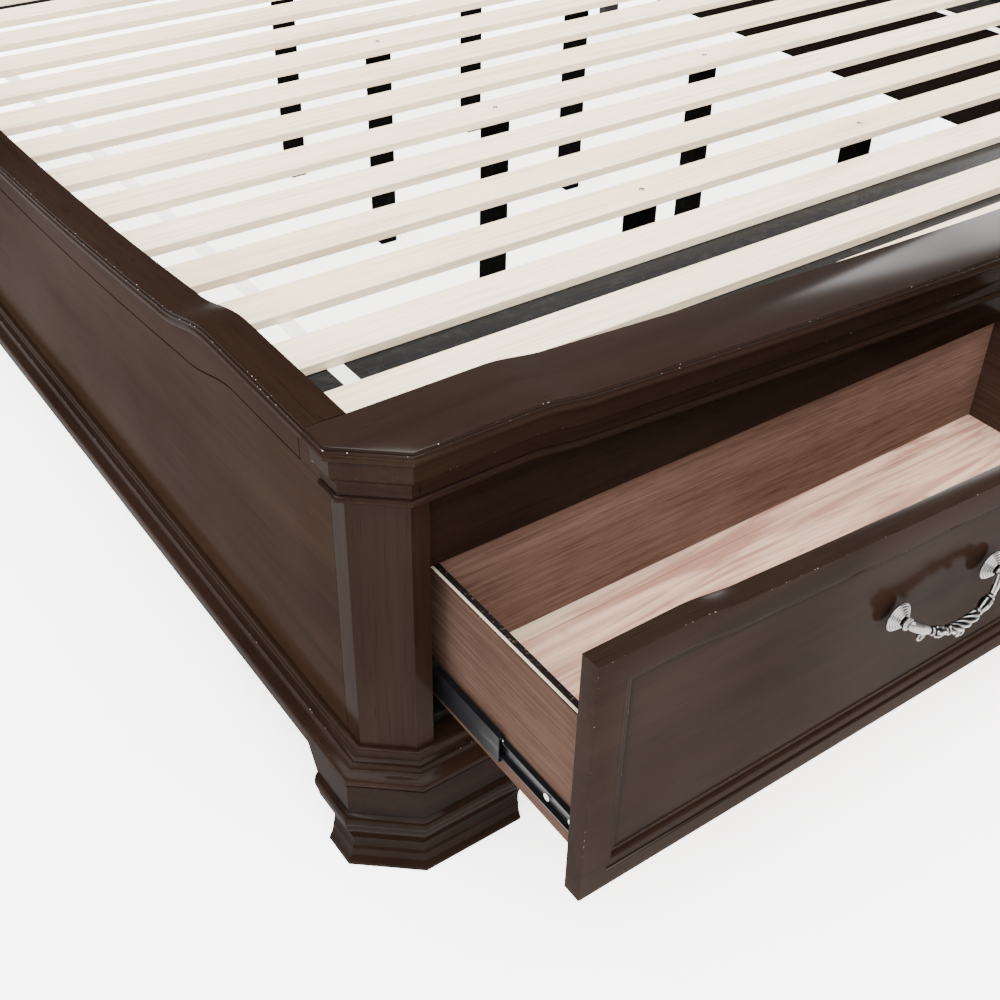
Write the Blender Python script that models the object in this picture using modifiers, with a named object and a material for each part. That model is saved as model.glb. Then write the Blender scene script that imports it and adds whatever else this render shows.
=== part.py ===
"""Platform bed with two storage drawers in its footboard, as separate solids.

Metres, +Z up, X across the bed, Y from the foot (low) to the head (high). Inside the root empty,
x = 0 is the bed's middle, y = 0 is the front plane of the feet at the floor, and z = 0 is the floor.
The root empty then moves everything so that the world origin is the bottom centre of the whole bed
with its left drawer standing open, which is the rest pose.
"""

import math

import bmesh
import bpy
from mathutils import Matrix

# ---- driving dimensions -------------------------------------------------------------------------
GAP = 0.0003  # clearance between pieces that touch

MATTRESS_WIDTH = 1.930
MATTRESS_LENGTH = 2.032
SIDE_CLEARANCE = 0.021  # mattress to rail, each side
END_CLEARANCE = 0.0055  # mattress to footboard and to headboard

POST_FRONT = 0.032  # front face of the posts behind the feet's front plane
POST_DEPTH = 0.065  # posts and footboard, front to back
POST_WIDTH = 0.066
CANT_WIDTH = 0.046  # cut corner of a post, across the bed
CANT_DEPTH = 0.039  # cut corner of a post, along the bed
RAIL_THICKNESS = 0.022

TOP_HEIGHT = 0.555  # footboard and rail tops at the corners
CORNICE_HEIGHT = 0.068
CAP_BOARD = 0.026  # thickness of the footboard's cap
RAIL_CAP_BOARD = 0.014

FOOTBOARD_LEVEL_RUN = 0.102  # the cap is level for this much past a post's inner face
FOOTBOARD_SHOULDER_RUN = 0.078
FOOTBOARD_SHOULDER = 0.009  # drop of the small shoulder
FOOTBOARD_SAG = 0.033  # further drop to the middle
FOOTBOARD_SAG_POWER = 1.5  # how the rise grows with the distance from the middle
RAIL_LEVEL_RUN = 0.193  # the rail cap is level for this much from each end
RAIL_SHOULDER_RUN = 0.125
RAIL_SHOULDER = 0.025
RAIL_SAG = 0.043
RAIL_SAG_POWER = 1.8

BASE_TOP = 0.160
BASE_HEIGHT = 0.038
BASE_BACKING = 0.018  # how far the rails reach down behind their base moulding
BASE_BACKING_OUT = 0.0225
BASE_RETURN = 0.118  # side return of the front base moulding, behind the posts' front face
FOOT_SIDE_RETURN = 0.067  # at the floor, behind the posts' front face
FOOT_FRONT_RETURN = 0.095  # at the floor, past the post's inner face
FOOT_FRONT_FLARE = 0.032  # how much further the foot reaches at its top
FOOT_END_POWER = 1.4  # curve of the feet's cut ends

SLAT_TOP = 0.392
SLAT_THICKNESS = 0.013
SLAT_WIDTH = 0.066
SLAT_PITCH = 0.1235
SLAT_CLEARANCE = 0.006  # slat's end to the rail
FIRST_SLAT = 0.231  # first full slat behind the footboard's back
FOOT_SLAT_GAP = 0.033  # between the foot slat and the first slat
LEG_SIZE = 0.034
LEG_SPACING = 0.456
LEG_STEP = 3  # every third slat stands on two legs
LEDGER_HEIGHT = 0.040
LEDGER_WIDTH = 0.030
HEAD_BEAM_HEIGHT = 0.062
HEAD_BEAM_THICKNESS = 0.025
HEAD_LEG_WIDTH = 0.045

CABINET_DEPTH = 0.345  # from the apron's back to the cabinet's back board
BOARD = 0.012  # cabinet top and back
CABINET_SIDE = 0.0097
APRON_SETBACK = 0.024
APRON_THICKNESS = 0.020
APRON_BOTTOM = 0.376
DIVIDER_WIDTH = 0.032
BOTTOM_RAIL_DROP = 0.002  # top of the rail under the drawers, below the base moulding's top
BOTTOM_RAIL_HEIGHT = 0.0355

DRAWER_REVEAL = 0.002  # between a front and its neighbours
FRONT_THICKNESS = 0.022
FRONT_RISE = 0.003  # bottom of a front over the base moulding's top
FRONT_EASE = 0.0015
FRONT_DROP = 0.088  # top edge of a front under the cap's top
STILE = 0.030
TOP_STILE = 0.028
BOTTOM_STILE = 0.022
STICKING = 0.014  # moulded edge between a front's frame and its panel
BOTTOM_STICKING = 0.020
PANEL_DEPTH = 0.008
SIDE_THICKNESS = 0.012
DRAWER_SIDE_RISE = 0.026  # drawer box over the base moulding's top
DRAWER_SIDE_DROP = 0.014  # drawer box under the apron
DRAWER_BOX_DEPTH = 0.284
DRAWER_BOTTOM_RISE = 0.012
DRAWER_BOTTOM = 0.009

SLIDE_SPACE = 0.0127  # cabinet side to drawer side
SLIDE_LENGTH = 0.280
SLIDE_SETBACK = 0.004  # behind a closed drawer front
SLIDE_RISE = 0.040  # slide's centre over the drawer box's lower edge
SLIDE_STEEL = 0.0013
SLIDE_CABINET_HALF = 0.0225  # half heights of a slide's three members
SLIDE_MIDDLE_HALF = 0.0175
SLIDE_DRAWER_HALF = 0.0120
DRAWER_TRAVEL = 0.280
REST_OPENING = 0.245  # how far the left drawer stands open

PULL_SPACING = 0.142
PULL_HEIGHT = 0.322
ROSETTE_RADIUS = 0.017
ROSETTE_REACH = 0.016
PULL_REACH = 0.030  # grip's axis in front of the drawer front, at its middle
PULL_DROP = 0.026
GRIP_RADIUS = 0.005

# ---- places that follow from them ---------------------------------------------------------------
WELL_HALF = MATTRESS_WIDTH / 2 + SIDE_CLEARANCE
POST_SIDE = WELL_HALF + RAIL_THICKNESS
POST_INNER = POST_SIDE - POST_WIDTH
FOOTBOARD_BACK = POST_FRONT + POST_DEPTH
FOOTBOARD_LEVEL_TO = POST_INNER - FOOTBOARD_LEVEL_RUN
FOOTBOARD_SHOULDER_TO = FOOTBOARD_LEVEL_TO - FOOTBOARD_SHOULDER_RUN
HEAD_END = FOOTBOARD_BACK + MATTRESS_LENGTH + 2 * END_CLEARANCE
RAIL_MIDDLE = (FOOTBOARD_BACK + HEAD_END) / 2
RAIL_LEVEL_TO = HEAD_END - RAIL_MIDDLE - RAIL_LEVEL_RUN
RAIL_SHOULDER_TO = RAIL_LEVEL_TO - RAIL_SHOULDER_RUN
BASE_BOTTOM = BASE_TOP - BASE_HEIGHT
RAIL_BOTTOM = BASE_BOTTOM - BASE_BACKING
BOTTOM_RAIL_TOP = BASE_TOP - BOTTOM_RAIL_DROP
BOTTOM_RAIL_LOW = BOTTOM_RAIL_TOP - BOTTOM_RAIL_HEIGHT
FRONT_BOTTOM = BASE_TOP + FRONT_RISE
DRAWER_SIDE_LOW = BASE_TOP + DRAWER_SIDE_RISE
DRAWER_SIDE_HIGH = APRON_BOTTOM - DRAWER_SIDE_DROP
DRAWER_BOTTOM_LOW = DRAWER_SIDE_LOW + DRAWER_BOTTOM_RISE
SLIDE_CENTRE = DRAWER_SIDE_LOW + SLIDE_RISE
SLAT_BOTTOM = SLAT_TOP - SLAT_THICKNESS
BOARD_TOP = SLAT_BOTTOM - GAP
BOARD_UNDER = BOARD_TOP - BOARD
APRON_FRONT = POST_FRONT + APRON_SETBACK
APRON_BACK = APRON_FRONT + APRON_THICKNESS
CABINET_BACK = APRON_BACK + CABINET_DEPTH
CABINET_INNER = POST_INNER - GAP - CABINET_SIDE
LEDGER_INNER = WELL_HALF - LEDGER_WIDTH
DRAWER_BACK = POST_FRONT + FRONT_THICKNESS + DRAWER_BOX_DEPTH
FRONT_BACK = POST_FRONT + FRONT_THICKNESS
SLIDE_FRONT = FRONT_BACK + SLIDE_SETBACK
FIRST_SLAT_Y = FOOTBOARD_BACK + FIRST_SLAT
SLAT_COUNT = 1 + int((HEAD_END - SLAT_WIDTH / 2 - FIRST_SLAT_Y) / SLAT_PITCH)
SLAT_HALF = WELL_HALF - SLAT_CLEARANCE
LAST_SLAT_Y = FIRST_SLAT_Y + (SLAT_COUNT - 1) * SLAT_PITCH
FRONT_TIP = POST_FRONT - REST_OPENING - PULL_REACH - GRIP_RADIUS
SIDES = ((-1, "left"), (1, "right"))

# Profiles: (projection from the post's face, height). Cornice and rail cap heights count down from
# the top of the cap, the base moulding's down from its top in 38ths of its height, and the foot's
# up from the floor.
EDGE_PROFILE = (
    (0.0200, 0.000), (0.0200, -0.003), (0.0220, -0.003), (0.0220, -0.006),
    (0.0236, -0.0075), (0.0242, -0.010), (0.0236, -0.0125), (0.0222, -0.014), (0.0170, -0.014),
)
CORNICE_PROFILE = EDGE_PROFILE + (
    (0.0170, -0.0365), (0.0140, -0.0365), (0.0115, -0.040), (0.0095, -0.047), (0.0085, -0.057),
    (0.0085, -0.0595), (0.0115, -0.0600), (0.0130, -0.0635), (0.0115, -0.0670), (0.0090, -CORNICE_HEIGHT),
)
RAIL_CAP_PROFILE = EDGE_PROFILE + (
    (0.0170, -0.017), (0.0130, -0.019), (0.0080, -0.023), (0.0060, -0.0275), (0.0040, -0.029),
)
BASE_SHAPE = (
    (0.0030, 0.0), (0.0060, 3.0), (0.0065, 8.0), (0.0110, 12.0), (0.0140, 13.5), (0.0145, 17.0),
    (0.0185, 20.0), (0.0200, 23.0), (0.0240, 24.5), (0.0275, 28.0), (0.0280, 32.0), (0.0265, 36.0),
    (0.0240, 38.0),
)
BASE_PROFILE = tuple((out, BASE_TOP - BASE_HEIGHT * drop / 38.0) for out, drop in BASE_SHAPE)
FOOT_PROFILE = (
    (0.0255, BASE_BOTTOM - GAP), (0.0255, 0.080), (0.0280, 0.077), (0.0305, 0.070), (0.0305, 0.062),
    (0.0270, 0.050), (0.0225, 0.040), (0.0215, 0.030), (0.0240, 0.018), (0.0300, 0.006), (0.0320, 0.000),
)


# ---- materials and objects ----------------------------------------------------------------------
def material(name, colour, roughness, metallic=0.0):
    """A plain Principled material, made once for each name."""
    made = bpy.data.materials.get(name)
    if made is None:
        made = bpy.data.materials.new(name)
        made.use_nodes = True
        shader = made.node_tree.nodes["Principled BSDF"]
        shader.inputs["Base Color"].default_value = (*colour, 1.0)
        shader.inputs["Roughness"].default_value = roughness
        shader.inputs["Metallic"].default_value = metallic
    return made


def walnut():
    return material("dark_walnut", (0.060, 0.034, 0.022), 0.32)


def black_board():
    return material("black_board", (0.012, 0.012, 0.014), 0.55)


def poplar():
    return material("cream_poplar", (0.78, 0.70, 0.55), 0.62)


def veneer():
    return material("brown_veneer", (0.180, 0.098, 0.070), 0.50)


def cedar():
    return material("pink_cedar", (0.66, 0.42, 0.34), 0.60)


def slide_steel():
    return material("slide_steel", (0.035, 0.035, 0.040), 0.35, 1.0)


def pewter():
    return material("antique_pewter", (0.42, 0.40, 0.37), 0.34, 1.0)


def clear_scene():
    """Remove every object, mesh and curve of the start-up file."""
    for item in list(bpy.data.objects):
        bpy.data.objects.remove(item, do_unlink=True)


def collection(name):
    """The named collection, linked into the scene."""
    made = bpy.data.collections.get(name)
    if made is None:
        made = bpy.data.collections.new(name)
        bpy.context.scene.collection.children.link(made)
    return made


def place(item, name, look, parent, home="platform_bed"):
    """Name an object, give it its material and parent, and keep it in one collection only."""
    item.name = name
    item.data.name = name
    item.data.materials.clear()
    item.data.materials.append(look)
    for owner in list(item.users_collection):
        owner.objects.unlink(item)
    collection(home).objects.link(item)
    item.parent = parent
    return item


def empty(name, location, parent=None):
    """A plain axes empty that carries the pieces of one body."""
    item = bpy.data.objects.new(name, None)
    item.empty_display_size = 0.1
    item.location = location
    item.parent = parent
    collection("platform_bed").objects.link(item)
    return item


def hide_as_cutter(item):
    """Keep an object only as the tool of a Boolean."""
    item.hide_render = True
    item.display_type = "WIRE"
    return item


def block(name, low, high, look, parent, bevel=0.0, home="platform_bed"):
    """A board between two opposite corners, with its long edges eased by a Bevel."""
    centre = [(a + b) / 2 for a, b in zip(low, high)]
    size = [abs(b - a) for a, b in zip(low, high)]
    bpy.ops.mesh.primitive_cube_add(size=1.0, location=centre)
    item = bpy.context.object
    item.data.transform(Matrix.Diagonal((*size, 1.0)))
    if bevel:
        ease = item.modifiers.new("eased_edges", "BEVEL")
        ease.width = bevel
        ease.segments = 1
    return place(item, name, look, parent, home)


def side_block(name, side, near, far, ys, zs, look, parent, bevel=0.0):
    """A board on one side of the bed: near and far are distances from the bed's middle."""
    xs = sorted((side * near, side * far))
    return block(name, (xs[0], ys[0], zs[0]), (xs[1], ys[1], zs[1]), look, parent, bevel)


def plate(name, outline, start, thickness, plane, look, parent):
    """A flat board: a filled 2D outline, extruded along the axis that its plane leaves out."""
    curve = bpy.data.curves.new(name, "CURVE")
    curve.dimensions = "2D"
    curve.fill_mode = "BOTH"
    curve.extrude = thickness / 2
    spline = curve.splines.new("POLY")
    spline.points.add(len(outline) - 1)
    for point, (a, b) in zip(spline.points, outline):
        point.co = (a, b, 0.0, 1.0)
    spline.use_cyclic_u = True
    item = bpy.data.objects.new(name, curve)
    middle = start + thickness / 2
    if plane == "XY":
        item.location = (0.0, 0.0, middle)
    elif plane == "XZ":
        item.rotation_euler = (math.pi / 2, 0.0, 0.0)
        item.location = (0.0, middle, 0.0)
    else:
        item.rotation_euler = (math.pi / 2, 0.0, math.pi / 2)
        item.location = (middle, 0.0, 0.0)
    return place(item, name, look, parent)


def loft(name, rings, look, parent, open_end=False, ladder=False, home="platform_bed"):
    """A closed solid through rings of points. A flat end closes with one face; an end that isn't
    flat closes with a ladder of quads between the ring's outer side and its inner side."""
    shape = bmesh.new()
    loops = [[shape.verts.new(point) for point in ring] for ring in rings]
    count = len(loops[0])
    for one, two in zip(loops, loops[1:]):
        for i in range(count):
            j = (i + 1) % count
            shape.faces.new((one[i], one[j], two[j], two[i]))
    for loop in loops[:1] if open_end else (loops[0], loops[-1]):
        if ladder:
            for i in range(count // 2 - 1):
                shape.faces.new((loop[i], loop[i + 1], loop[count - 2 - i], loop[count - 1 - i]))
        else:
            shape.faces.new(loop)
    bmesh.ops.recalc_face_normals(shape, faces=shape.faces)
    mesh = bpy.data.meshes.new(name)
    shape.to_mesh(mesh)
    shape.free()
    return place(bpy.data.objects.new(name, mesh), name, look, parent, home)


def mirrored(item):
    """Complete a left half that is open at the bed's middle plane."""
    mirror = item.modifiers.new("right_half", "MIRROR")
    mirror.merge_threshold = 0.0001
    return item


def as_mesh(item):
    """Swap a curve object for its welded mesh, so that it can take a Boolean."""
    bpy.context.view_layer.update()
    seen = item.evaluated_get(bpy.context.evaluated_depsgraph_get())
    mesh = bpy.data.meshes.new_from_object(seen)
    weld = bmesh.new()
    weld.from_mesh(mesh)
    bmesh.ops.remove_doubles(weld, verts=weld.verts, dist=0.00001)
    weld.to_mesh(mesh)
    weld.free()
    name, look, parent = item.name, item.data.materials[0], item.parent
    made = bpy.data.objects.new(name + "_mesh", mesh)
    world = item.matrix_world.copy()
    bpy.data.objects.remove(item, do_unlink=True)
    place(made, name, look, parent)
    bpy.context.view_layer.update()
    made.matrix_world = world
    return made


def join(item, tools):
    """Boolean union of an object with tools that overlap it."""
    for tool in tools:
        union = item.modifiers.new("joined_" + tool.name, "BOOLEAN")
        union.operation = "UNION"
        union.object = hide_as_cutter(tool)
    return item


# ---- curves of the tops -------------------------------------------------------------------------
def smooth(share):
    """Cubic ease from 0 to 1."""
    share = min(max(share, 0.0), 1.0)
    return share * share * (3 - 2 * share)


def footboard_top(x):
    """Height of the footboard's cap: level at the corners, a small shoulder, then a long sag."""
    out = abs(x)
    if out >= FOOTBOARD_SHOULDER_TO:
        fall = smooth((FOOTBOARD_LEVEL_TO - out) / (FOOTBOARD_LEVEL_TO - FOOTBOARD_SHOULDER_TO))
        return TOP_HEIGHT - FOOTBOARD_SHOULDER * fall
    rise = (out / FOOTBOARD_SHOULDER_TO) ** FOOTBOARD_SAG_POWER
    return TOP_HEIGHT - FOOTBOARD_SHOULDER - FOOTBOARD_SAG * (1 - rise)


def rail_top(y):
    """Height of a side rail's cap: level at both ends, a deep shoulder, then a long sag."""
    out = abs(y - RAIL_MIDDLE)
    if out >= RAIL_SHOULDER_TO:
        fall = smooth((RAIL_LEVEL_TO - out) / (RAIL_LEVEL_TO - RAIL_SHOULDER_TO))
        return TOP_HEIGHT - RAIL_SHOULDER * fall
    rise = (out / RAIL_SHOULDER_TO) ** RAIL_SAG_POWER
    return TOP_HEIGHT - RAIL_SHOULDER - RAIL_SAG * (1 - rise)


def steps(low, high, count):
    """Evenly spaced values from low to high, both included."""
    return [low + (high - low) * i / count for i in range(count + 1)]


def footboard_stations(reach):
    """Distances from the middle where the cap's curve is followed, outermost first."""
    shoulder = steps(FOOTBOARD_LEVEL_TO, FOOTBOARD_SHOULDER_TO, 4)
    return [reach] + shoulder + steps(FOOTBOARD_SHOULDER_TO, 0.0, 10)[1:]


def rail_stations(start):
    """Places along a rail where its curve is followed, from the foot to the head."""
    half = [RAIL_LEVEL_TO - (RAIL_LEVEL_TO - RAIL_SHOULDER_TO) * i / 5 for i in range(5)]
    half += steps(RAIL_SHOULDER_TO, 0.0, 7)[:-1]
    foot = [RAIL_MIDDLE - out for out in half]
    head = [RAIL_MIDDLE + out for out in reversed(half)]
    return [start] + foot + [RAIL_MIDDLE] + head + [HEAD_END]


def arrises(projection):
    """Where the post's two vertical edges go when its faces move out by a projection.

    The side face, the cut corner and the front face keep their directions, so each edge is where
    two moved planes meet. Returned as (distance from the middle, y) for the side and front edge.
    """
    length = math.hypot(CANT_WIDTH, CANT_DEPTH)
    across = CANT_DEPTH / length
    along = CANT_WIDTH / length
    side_y = POST_FRONT + CANT_DEPTH - projection * (1 - across) / along
    front_x = POST_SIDE - CANT_WIDTH + projection * (1 - along) / across
    return (POST_SIDE + projection, side_y), (front_x, POST_FRONT - projection)


# ---- frame: corner posts, feet, base ------------------------------------------------------------
def make_post(side, tag, parent):
    """A corner post with one cut corner: its plan, extruded from the floor to under the cap."""
    back = FOOTBOARD_BACK - GAP
    plan = [*arrises(0.0), (POST_INNER, POST_FRONT), (POST_INNER, back), (POST_SIDE, back)]
    plan = [(side * x, y) for x, y in plan]
    height = TOP_HEIGHT - CAP_BOARD - GAP
    return plate(f"corner_post_{tag}", plan, 0.0, height, "XY", walnut(), parent)


def make_foot(side, tag, parent):
    """An ogee bracket foot: a shell mitred round the cut corner, its two ends cut to a curve."""
    def reach(z, at_floor, more):
        return at_floor + more * (z / BASE_BOTTOM) ** FOOT_END_POWER

    def side_end(out, z):
        more = BASE_RETURN - GAP - FOOT_SIDE_RETURN
        return POST_SIDE + out, POST_FRONT + reach(z, FOOT_SIDE_RETURN, more)

    def side_edge(out, z):
        return arrises(out)[0]

    def front_edge(out, z):
        return arrises(out)[1]

    def front_end(out, z):
        return POST_INNER - reach(z, FOOT_FRONT_RETURN, FOOT_FRONT_FLARE), POST_FRONT - out

    section = FOOT_PROFILE + tuple((GAP, z) for out, z in reversed(FOOT_PROFILE))
    rings = []
    for where in (side_end, side_edge, front_edge, front_end):
        places = [(where(out, z), z) for out, z in section]
        rings.append([(side * x, y, z) for (x, y), z in places])
    return loft(f"bracket_foot_{tag}", rings, walnut(), parent, ladder=True)


def make_front_base(parent):
    """Base moulding across the front and round both cut corners, on the rail it is glued to."""
    section = BASE_PROFILE + ((GAP, BASE_BOTTOM), (GAP, BASE_TOP))
    end = POST_FRONT + BASE_RETURN - GAP
    rings = [
        [(-POST_SIDE - out, end, z) for out, z in section],
        [(-arrises(out)[0][0], arrises(out)[0][1], z) for out, z in section],
        [(-arrises(out)[1][0], arrises(out)[1][1], z) for out, z in section],
        [(0.0, POST_FRONT - out, z) for out, z in section],
    ]
    moulding = mirrored(loft("front_base", rings, walnut(), parent, open_end=True))
    half = POST_INNER - GAP
    low = (-half, POST_FRONT - 2 * GAP, BOTTOM_RAIL_LOW)
    high = (half, FRONT_BACK, BOTTOM_RAIL_TOP)
    rail = block("front_base_rail", low, high, walnut(), parent, home="joining_shapes")
    return join(moulding, [rail])


# ---- footboard ----------------------------------------------------------------------------------
def make_footboard_cap(parent):
    """The footboard's cap with its cornice, mitred round the cut corners and following the sag."""
    section = CORNICE_PROFILE + ((GAP, -CORNICE_HEIGHT), (GAP, -CAP_BOARD))
    back = FOOTBOARD_BACK - GAP

    def ring(where, inner):
        points = [(*where(out), drop) for out, drop in section]
        points += [(inner, back, -CAP_BOARD), (inner, back, 0.0)]
        top = footboard_top(inner)
        return [(-x, y, top + drop) for x, y, drop in points]

    reach = POST_INNER
    inset = POST_WIDTH / 4
    rings = [
        ring(lambda out: (POST_SIDE + out, back), reach + 3 * inset),
        ring(lambda out: arrises(out)[0], reach + 2 * inset),
        ring(lambda out: arrises(out)[1], reach + inset),
    ]
    for x in footboard_stations(reach):
        rings.append(ring(lambda out, x=x: (x, POST_FRONT - out), x))
    return mirrored(loft("footboard_cap", rings, walnut(), parent, open_end=True))


def make_apron(parent):
    """Recessed rail over the drawers: level below, following the cap above."""
    half = POST_INNER - GAP
    stations = footboard_stations(half)
    across = [-x for x in stations] + [x for x in reversed(stations[:-1])]
    outline = [(half, APRON_BOTTOM), (-half, APRON_BOTTOM)]
    outline += [(x, footboard_top(x) - CAP_BOARD - GAP) for x in across]
    return plate("drawer_apron", outline, APRON_FRONT, APRON_THICKNESS, "XZ", walnut(), parent)


def make_divider(parent):
    """Upright between the drawers: a stile in front of the apron and a panel behind it."""
    low = BOTTOM_RAIL_TOP + GAP
    stile_top = footboard_top(0.0) - CAP_BOARD - GAP
    notch = APRON_FRONT - GAP
    panel_top = BOARD_UNDER - GAP
    back = CABINET_BACK - GAP
    outline = [(POST_FRONT, low), (back, low), (back, panel_top), (notch, panel_top)]
    outline += [(notch, stile_top), (POST_FRONT, stile_top)]
    return plate("drawer_divider", outline, -DIVIDER_WIDTH / 2, DIVIDER_WIDTH, "YZ", walnut(), parent)


def make_cabinet(parent):
    """Sides, back and top board of the drawer compartment."""
    low = BOTTOM_RAIL_TOP + GAP
    high = BOARD_UNDER - GAP
    half = POST_INNER - GAP
    for side, tag in SIDES:
        ys = (APRON_FRONT, CABINET_BACK - GAP)
        name = f"cabinet_side_{tag}"
        side_block(name, side, CABINET_INNER, half, ys, (low, high), black_board(), parent)
    back_low = (-half, CABINET_BACK, low)
    back_high = (half, CABINET_BACK + BOARD, high)
    block("cabinet_back", back_low, back_high, black_board(), parent)
    top_low = (-half, APRON_BACK + GAP, BOARD_UNDER)
    top_high = (half, CABINET_BACK + BOARD, BOARD_TOP)
    block("cabinet_top", top_low, top_high, black_board(), parent)


# ---- side rails ---------------------------------------------------------------------------------
def make_rail(side, tag, parent):
    """A side rail: a board with a curved top, and the base moulding glued along its foot."""
    start = FOOTBOARD_BACK + GAP
    stations = rail_stations(start)
    outline = [(start, RAIL_BOTTOM), (HEAD_END, RAIL_BOTTOM)]
    outline += [(y, rail_top(y) - RAIL_CAP_BOARD - GAP) for y in reversed(stations)]
    near = min(side * WELL_HALF, side * POST_SIDE)
    board = plate(f"side_rail_{tag}", outline, near, RAIL_THICKNESS, "YZ", walnut(), parent)
    out = BASE_BACKING_OUT
    sunk = -RAIL_THICKNESS / 4
    low = RAIL_BOTTOM + 2 * GAP
    section = BASE_PROFILE[:-1] + ((out, BASE_BOTTOM), (out, low), (sunk, low), (sunk, BASE_TOP))
    rings = []
    for y in (POST_FRONT + BASE_RETURN, HEAD_END - 2 * GAP):
        rings.append([(side * (POST_SIDE + out), y, z) for out, z in section])
    base = loft(f"rail_base_{tag}", rings, walnut(), parent, home="joining_shapes")
    return join(as_mesh(board), [base])


def make_rail_cap(side, tag, parent):
    """Moulded cap of a side rail, following the rail's curve."""
    inner = -RAIL_THICKNESS
    section = RAIL_CAP_PROFILE + (
        (GAP, RAIL_CAP_PROFILE[-1][1]), (GAP, -RAIL_CAP_BOARD), (inner, -RAIL_CAP_BOARD), (inner, 0.0),
    )
    rings = []
    for y in rail_stations(FOOTBOARD_BACK + GAP):
        rings.append([(side * (POST_SIDE + out), y, rail_top(y) + drop) for out, drop in section])
    return loft(f"rail_cap_{tag}", rings, walnut(), parent)


def make_ledger(side, tag, parent):
    """Cleat inside a rail that the slats' ends lie on."""
    ys = (FOOTBOARD_BACK + GAP, HEAD_END)
    zs = (BOARD_TOP - LEDGER_HEIGHT, BOARD_TOP)
    name = f"slat_ledger_{tag}"
    return side_block(name, side, LEDGER_INNER, WELL_HALF - GAP, ys, zs, black_board(), parent)


# ---- slats and their supports -------------------------------------------------------------------
def make_slat(name, y, with_legs, parent):
    """A mattress slat, with its pair of screwed-on centre legs where it has them."""
    low = (-SLAT_HALF, y - SLAT_WIDTH / 2, SLAT_BOTTOM)
    high = (SLAT_HALF, y + SLAT_WIDTH / 2, SLAT_TOP)
    slat = block(name, low, high, poplar(), parent, bevel=0.001)
    legs = []
    for side, tag in SIDES if with_legs else ():
        x = side * LEG_SPACING / 2
        half = LEG_SIZE / 2
        low = (x - half, y - half, 0.0)
        high = (x + half, y + half, SLAT_TOP - SLAT_THICKNESS / 2)
        legs.append(block(f"{name}_leg_{tag}", low, high, black_board(), parent, home="joining_shapes"))
    return join(slat, legs)


def make_slats(parent):
    """The foot slat, then evenly spaced slats up to the head."""
    make_slat("slat_foot", FIRST_SLAT_Y - SLAT_WIDTH - FOOT_SLAT_GAP, False, parent)
    for i in range(1, SLAT_COUNT + 1):
        legs = i % LEG_STEP == 0 and i < SLAT_COUNT
        make_slat(f"slat_{i:02d}", FIRST_SLAT_Y + (i - 1) * SLAT_PITCH, legs, parent)


def make_head_support(parent):
    """Cross beam under the last slat, standing on a leg at each end."""
    half = LEDGER_INNER - GAP
    inner = half - HEAD_LEG_WIDTH
    under = BOARD_TOP - HEAD_BEAM_HEIGHT
    outline = [(-half, 0.0), (-inner, 0.0), (-inner, under), (inner, under), (inner, 0.0), (half, 0.0)]
    outline += [(half, BOARD_TOP), (-half, BOARD_TOP)]
    start = LAST_SLAT_Y - HEAD_BEAM_THICKNESS / 2
    return plate("head_support", outline, start, HEAD_BEAM_THICKNESS, "XZ", black_board(), parent)


# ---- drawers ------------------------------------------------------------------------------------
def make_drawer_front(side, tag, parent):
    """Frame-and-panel front: its top edge runs parallel to the cap, the panel is set back."""
    outer = POST_INNER - DRAWER_REVEAL
    inner = DIVIDER_WIDTH / 2 + DRAWER_REVEAL
    stations = [x for x in footboard_stations(outer) if x > inner + STILE * 1.6] + [inner]

    def ring(stile, low, high, depth):
        """The front's outline moved in by a stile, a lower and an upper width, at a depth."""
        near, far = inner + stile, outer - stile
        points = [(far, FRONT_BOTTOM + low), (near, FRONT_BOTTOM + low)]
        for x in reversed(stations):
            points.append((min(max(x, near), far), footboard_top(x) - FRONT_DROP - high))
        return [(side * x, POST_FRONT + depth, z) for x, z in points]

    rings = [
        ring(0.0, 0.0, 0.0, FRONT_THICKNESS),
        ring(0.0, 0.0, 0.0, FRONT_EASE),
        ring(FRONT_EASE, FRONT_EASE, FRONT_EASE, 0.0),
        ring(STILE, BOTTOM_STILE, TOP_STILE, 0.0),
    ]
    for share, deep in ((0.05, 0.30), (0.35, 0.36), (0.75, 0.70), (1.0, 1.0)):
        low = BOTTOM_STILE + BOTTOM_STICKING * share
        high = TOP_STILE + STICKING * share
        rings.append(ring(STILE + STICKING * share, low, high, PANEL_DEPTH * deep))
    return loft(f"drawer_front_{tag}", rings, walnut(), parent)


def make_drawer_box(side, tag, parent):
    """Two sides, a back and a cedar bottom behind a drawer front."""
    far = CABINET_INNER - SLIDE_SPACE
    near = DIVIDER_WIDTH / 2 + SLIDE_SPACE
    ys = (FRONT_BACK + GAP, DRAWER_BACK)
    zs = (DRAWER_SIDE_LOW, DRAWER_SIDE_HIGH)
    inside = (near + SIDE_THICKNESS + GAP, far - SIDE_THICKNESS - GAP)
    name = f"drawer_{tag}_outer_side"
    side_block(name, side, far - SIDE_THICKNESS, far, ys, zs, veneer(), parent, bevel=0.001)
    name = f"drawer_{tag}_inner_side"
    side_block(name, side, near, near + SIDE_THICKNESS, ys, zs, veneer(), parent, bevel=0.001)
    board_top = DRAWER_BOTTOM_LOW + DRAWER_BOTTOM
    zs = (DRAWER_BOTTOM_LOW, board_top)
    side_block(f"drawer_{tag}_bottom", side, *inside, ys, zs, cedar(), parent)
    ys = (DRAWER_BACK - SIDE_THICKNESS, DRAWER_BACK)
    zs = (board_top + GAP, DRAWER_SIDE_HIGH)
    side_block(f"drawer_{tag}_back", side, *inside, ys, zs, veneer(), parent, bevel=0.001)


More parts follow.
